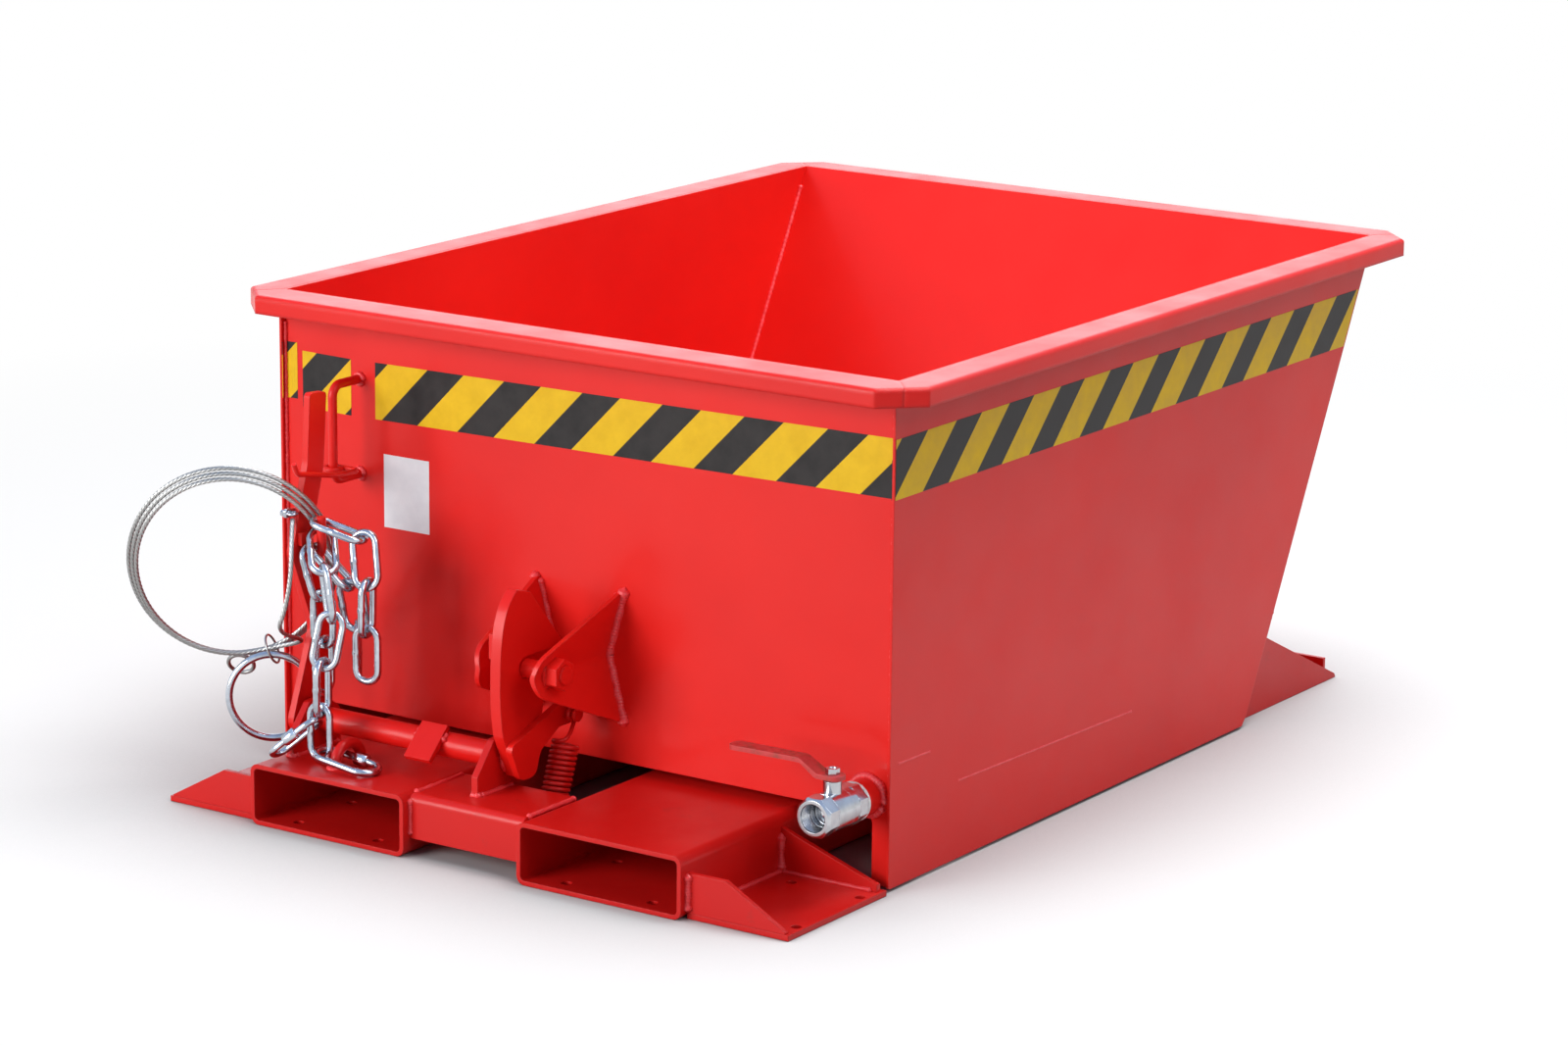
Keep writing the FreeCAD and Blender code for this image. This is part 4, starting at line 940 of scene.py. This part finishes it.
dressed = [(solid, finish_of(name)) for name, solid in nodes.items()]
dressed += [(rope, rope_wire), (spring, frame_paint), (thread, valve_nickel), (label, label_white)]
dressed += [(made, chain_zinc) for made in (clip, hank, chain_strand, ends)]
dressed += [(made, weld_paint_and_highlight) for made in (container_welds, frame_welds, release_welds)]
dressed += zip(tapes, [front_tape, lever_tape, edge_tape, edge_tape, front_tape, right_tape, left_tape])
for target, made in dressed:
    wear(target, made)
print("finishes on", len(dressed), "objects")

# %% [markdown]
# ## Floor, background and light
# The skip stands on a pale floor in plain soft light. Large area lamps give soft shadows: a low key from
# the front left, a higher and weaker fill from the right, one above that looks into the container, and one
# behind that glances off the rim. The background is white only for rays that the camera or a reflection
# sends, so it adds no light of its own beyond a soft sky, white at the horizon and faintly blue above,
# which is what the bright metal mirrors. The floor glows a little for the same rays, less where the skip
# stands over it, so that the shadow stays, and more far away, so that it runs into the background without
# an edge.

# %% Floor
floor_reach, floor_drop = 12, 0.0005


def seen_directly(tree):
    """One for rays that the camera, a reflection or a clear body sends, nought for shared light."""
    ways = add(tree, "LightPath").outputs
    camera_or_glossy = reckon(tree, "MAXIMUM", ways["Is Camera Ray"], ways["Is Glossy Ray"])
    return reckon(tree, "MAXIMUM", camera_or_glossy, ways["Is Transmission Ray"])


floor_u = np.linspace(-floor_reach, floor_reach, 3)
floor_grid = np.stack(np.meshgrid(floor_u, floor_u, [0.0], indexing="ij"), -1).reshape(3, 3, 3)
floor = piece("floor", floor_grid - np.array([0, 0, floor_drop]), grid_faces(3, 3, False).tolist(), False)
floor_finish, tree, shader = new_finish("floor_pale")
shade = between(tree, add(tree, "LightPath").outputs["Is Diffuse Ray"], 0.0, 1.0, 0.84, 0.42)
grey = add(tree, "CombineColor", shade, shade, shade).outputs[0]
fill_all(tree, shader, Base_Color=grey, Roughness=0.9, Specular_IOR_Level=0.2)
covered = add(tree, "AmbientOcclusion", Distance=0.45).outputs["AO"]
glow = add(tree, "Emission", Strength=between(tree, covered, 0.35, 0.97, 0.0, 1.0))
away = between(tree, measure(tree, "LENGTH", place(tree)), 0.8, 2.4, 0.45, 1.0)
share = reckon(tree, "MULTIPLY", away, seen_directly(tree))
cover = add(tree, "MixShader", share, shader.outputs[0], glow.outputs[0])
tree.links.new(cover.outputs[0], tree.nodes["Material Output"].inputs["Surface"])
wear(floor, floor_finish)
print("floor", floor.dimensions[:])

# %% World and lamps
world = bpy.data.worlds.new("studio")
bpy.context.scene.world = world
world.use_nodes = True
tree = world.node_tree
height = add(tree, "SeparateXYZ", Vector=place(tree, "Generated")).outputs["Z"]
tint = ramp(tree, between(tree, height, -1.0, 1.0, 0.0, 1.0),
            [(0.51, (1, 1, 1)), (0.66, (0.66, 0.77, 0.96)), (1.0, (0.46, 0.60, 0.90))])
fill_all(tree, tree.nodes["Background"],
         Color=mixed(tree, add(tree, "LightPath").outputs["Is Camera Ray"], tint, (1, 1, 1)),
         Strength=between(tree, seen_directly(tree), 0.0, 1.0, 0.22, 1.0))


def lamp(name, at, towards, size, power):
    """A square soft lamp that faces a point."""
    made = bpy.data.objects.new(name, bpy.data.lights.new(name, "AREA"))
    made.data.size = size
    made.data.energy = power
    back = unit(np.asarray(at, float) - np.asarray(towards, float))
    x_axis = unit(np.cross([0, 0, 1], back))
    made.matrix_world = stand(x_axis, np.cross(back, x_axis), back, at)
    bpy.context.scene.collection.objects.link(made)
    return made


lamps = [lamp("key", (-2.2, -5.2, 1.7), (0, -0.2, 0.25), 3.0, 268),
         lamp("fill", (4.2, -1.0, 3.6), (0.2, 0, 0.3), 2.6, 66),
         lamp("top", (0.6, 0.9, 3.3), (0, 0.1, 0.2), 2.2, 135),
         lamp("back", (-3.4, 5.4, 2.2), (0, 0, 0.4), 4.0, 60)]
print(len(lamps), "lamps")
